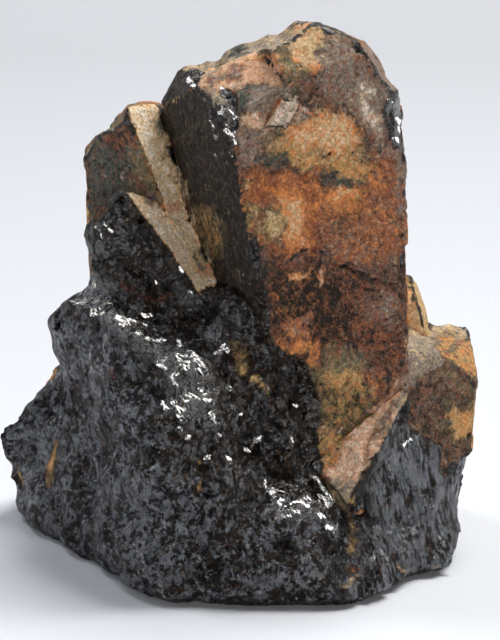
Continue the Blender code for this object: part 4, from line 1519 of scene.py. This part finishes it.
bare = add_node(tree, "Math", {0: 1.0, 1: covered}, 0, operation="SUBTRACT")
chip_gloss = add_node(tree, "MapRange", {
    "Value": chip_tone, "From Min": 0.42, "From Max": 0.66, "To Min": 0.02, "To Max": 0.72,
}, "Result", interpolation_type="SMOOTHSTEP")
dull_gloss = add_node(tree, "MapRange", {
    "Value": sheen_flecks, "From Min": 0.0, "From Max": 1.0, "To Min": 0.02, "To Max": 0.85,
}, "Result", interpolation_type="SMOOTHSTEP")
face_gloss = add_node(tree, "MapRange", {
    "Value": fibre_clouds, "From Min": 0.5, "From Max": 0.66, "To Min": 0.04, "To Max": 0.35,
}, "Result", interpolation_type="SMOOTHSTEP")
gloss = add_node(tree, "Mix", {
    0: is_fracture,
    2: face_gloss,
    3: add_node(tree, "Mix", {
        0: polished,
        2: add_node(tree, "Mix", {0: bloom_and_sheen_share, 2: chip_gloss, 3: dull_gloss}, 0, data_type="FLOAT"),
        3: 1.0,
    }, 0, data_type="FLOAT"),
}, 0, data_type="FLOAT")
gloss = add_node(tree, "Mix", {0: glinting, 2: gloss, 3: 1.0}, 0, data_type="FLOAT")
tree.links.new(
    add_node(tree, "Math", {0: bare, 1: gloss}, 0, operation="MULTIPLY"),
    shader.inputs["Coat Weight"],
)
shader.inputs["Coat IOR"].default_value = COAT_IOR
shader.inputs["Coat Roughness"].default_value = COAT_ROUGHNESS
shader.inputs["IOR"].default_value = GROUND_IOR
shader.inputs["Specular IOR Level"].default_value = GROUND_REFLECTION
bare_roughness = add_node(tree, "Mix", {0: polished, 2: 0.5, 3: 0.2}, 0, data_type="FLOAT")
tree.links.new(
    add_node(tree, "Mix", {0: covered, 2: bare_roughness, 3: CRUST_ROUGHNESS}, 0, data_type="FLOAT"),
    shader.inputs["Roughness"],
)

chip_strength = add_node(tree, "Math", {
    0: is_fracture,
    1: add_node(tree, "Mix", {0: bloom_and_sheen_share, 2: 1.0, 3: 0.75}, 0, data_type="FLOAT"),
}, 0, operation="MULTIPLY")
bare_height = add_node(tree, "Math", {
    0: add_node(tree, "Math", {0: chip_height, 1: chip_strength}, 0, operation="MULTIPLY"),
    1: add_node(tree, "Math", {0: fleck_clouds, 1: GRIT_HEIGHT}, 0, operation="MULTIPLY"),
}, 0, operation="ADD")
bare_height = add_node(tree, "Math", {
    0: bare_height,
    1: add_node(tree, "Math", {
        0: fibre_clouds,
        1: add_node(tree, "Mix", {0: is_fracture, 2: FIBRE_HEIGHT, 3: 0.0}, 0, data_type="FLOAT"),
    }, 0, operation="MULTIPLY"),
}, 0, operation="ADD")
bare_height = add_node(tree, "Math", {
    0: bare_height,
    1: add_node(tree, "Mix", {0: polished, 2: 1.0, 3: 0.85}, 0, data_type="FLOAT"),
}, 0, operation="MULTIPLY")
crust_height = add_node(tree, "Math", {
    0: add_node(tree, "Math", {0: clouds(0.3, 4.0, 0.65, 4.0), 1: 0.5}, 0, operation="ADD"),
    1: CRUST_HEIGHT,
}, 0, operation="MULTIPLY")
height = add_node(tree, "Mix", {0: covered, 2: bare_height, 3: crust_height}, 0, data_type="FLOAT")
bump = add_node(tree, "Bump", {"Strength": 1.0, "Distance": 1.0, "Height": height}, "Normal")
turned = add_node(tree, "Mix", {
    0: add_node(tree, "Math", {0: glinting, 1: bare}, 0, operation="MULTIPLY"),
    4: bump,
    5: facet_way,
}, 1, data_type="VECTOR")
facing = add_node(tree, "VectorMath", {0: turned}, 0, operation="NORMALIZE")
tree.links.new(facing, shader.inputs["Normal"])
tree.links.new(facing, shader.inputs["Coat Normal"])
skin_mesh.materials.clear()
skin_mesh.materials.append(stone)
skin_mesh.shade_smooth()
skin_mesh.set_sharp_from_angle(angle=SHARP_ANGLE)
print("nodes in all:", len(tree.nodes))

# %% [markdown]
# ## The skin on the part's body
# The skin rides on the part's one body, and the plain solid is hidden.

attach(skin, "root")
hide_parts("specimen")
rough.free()
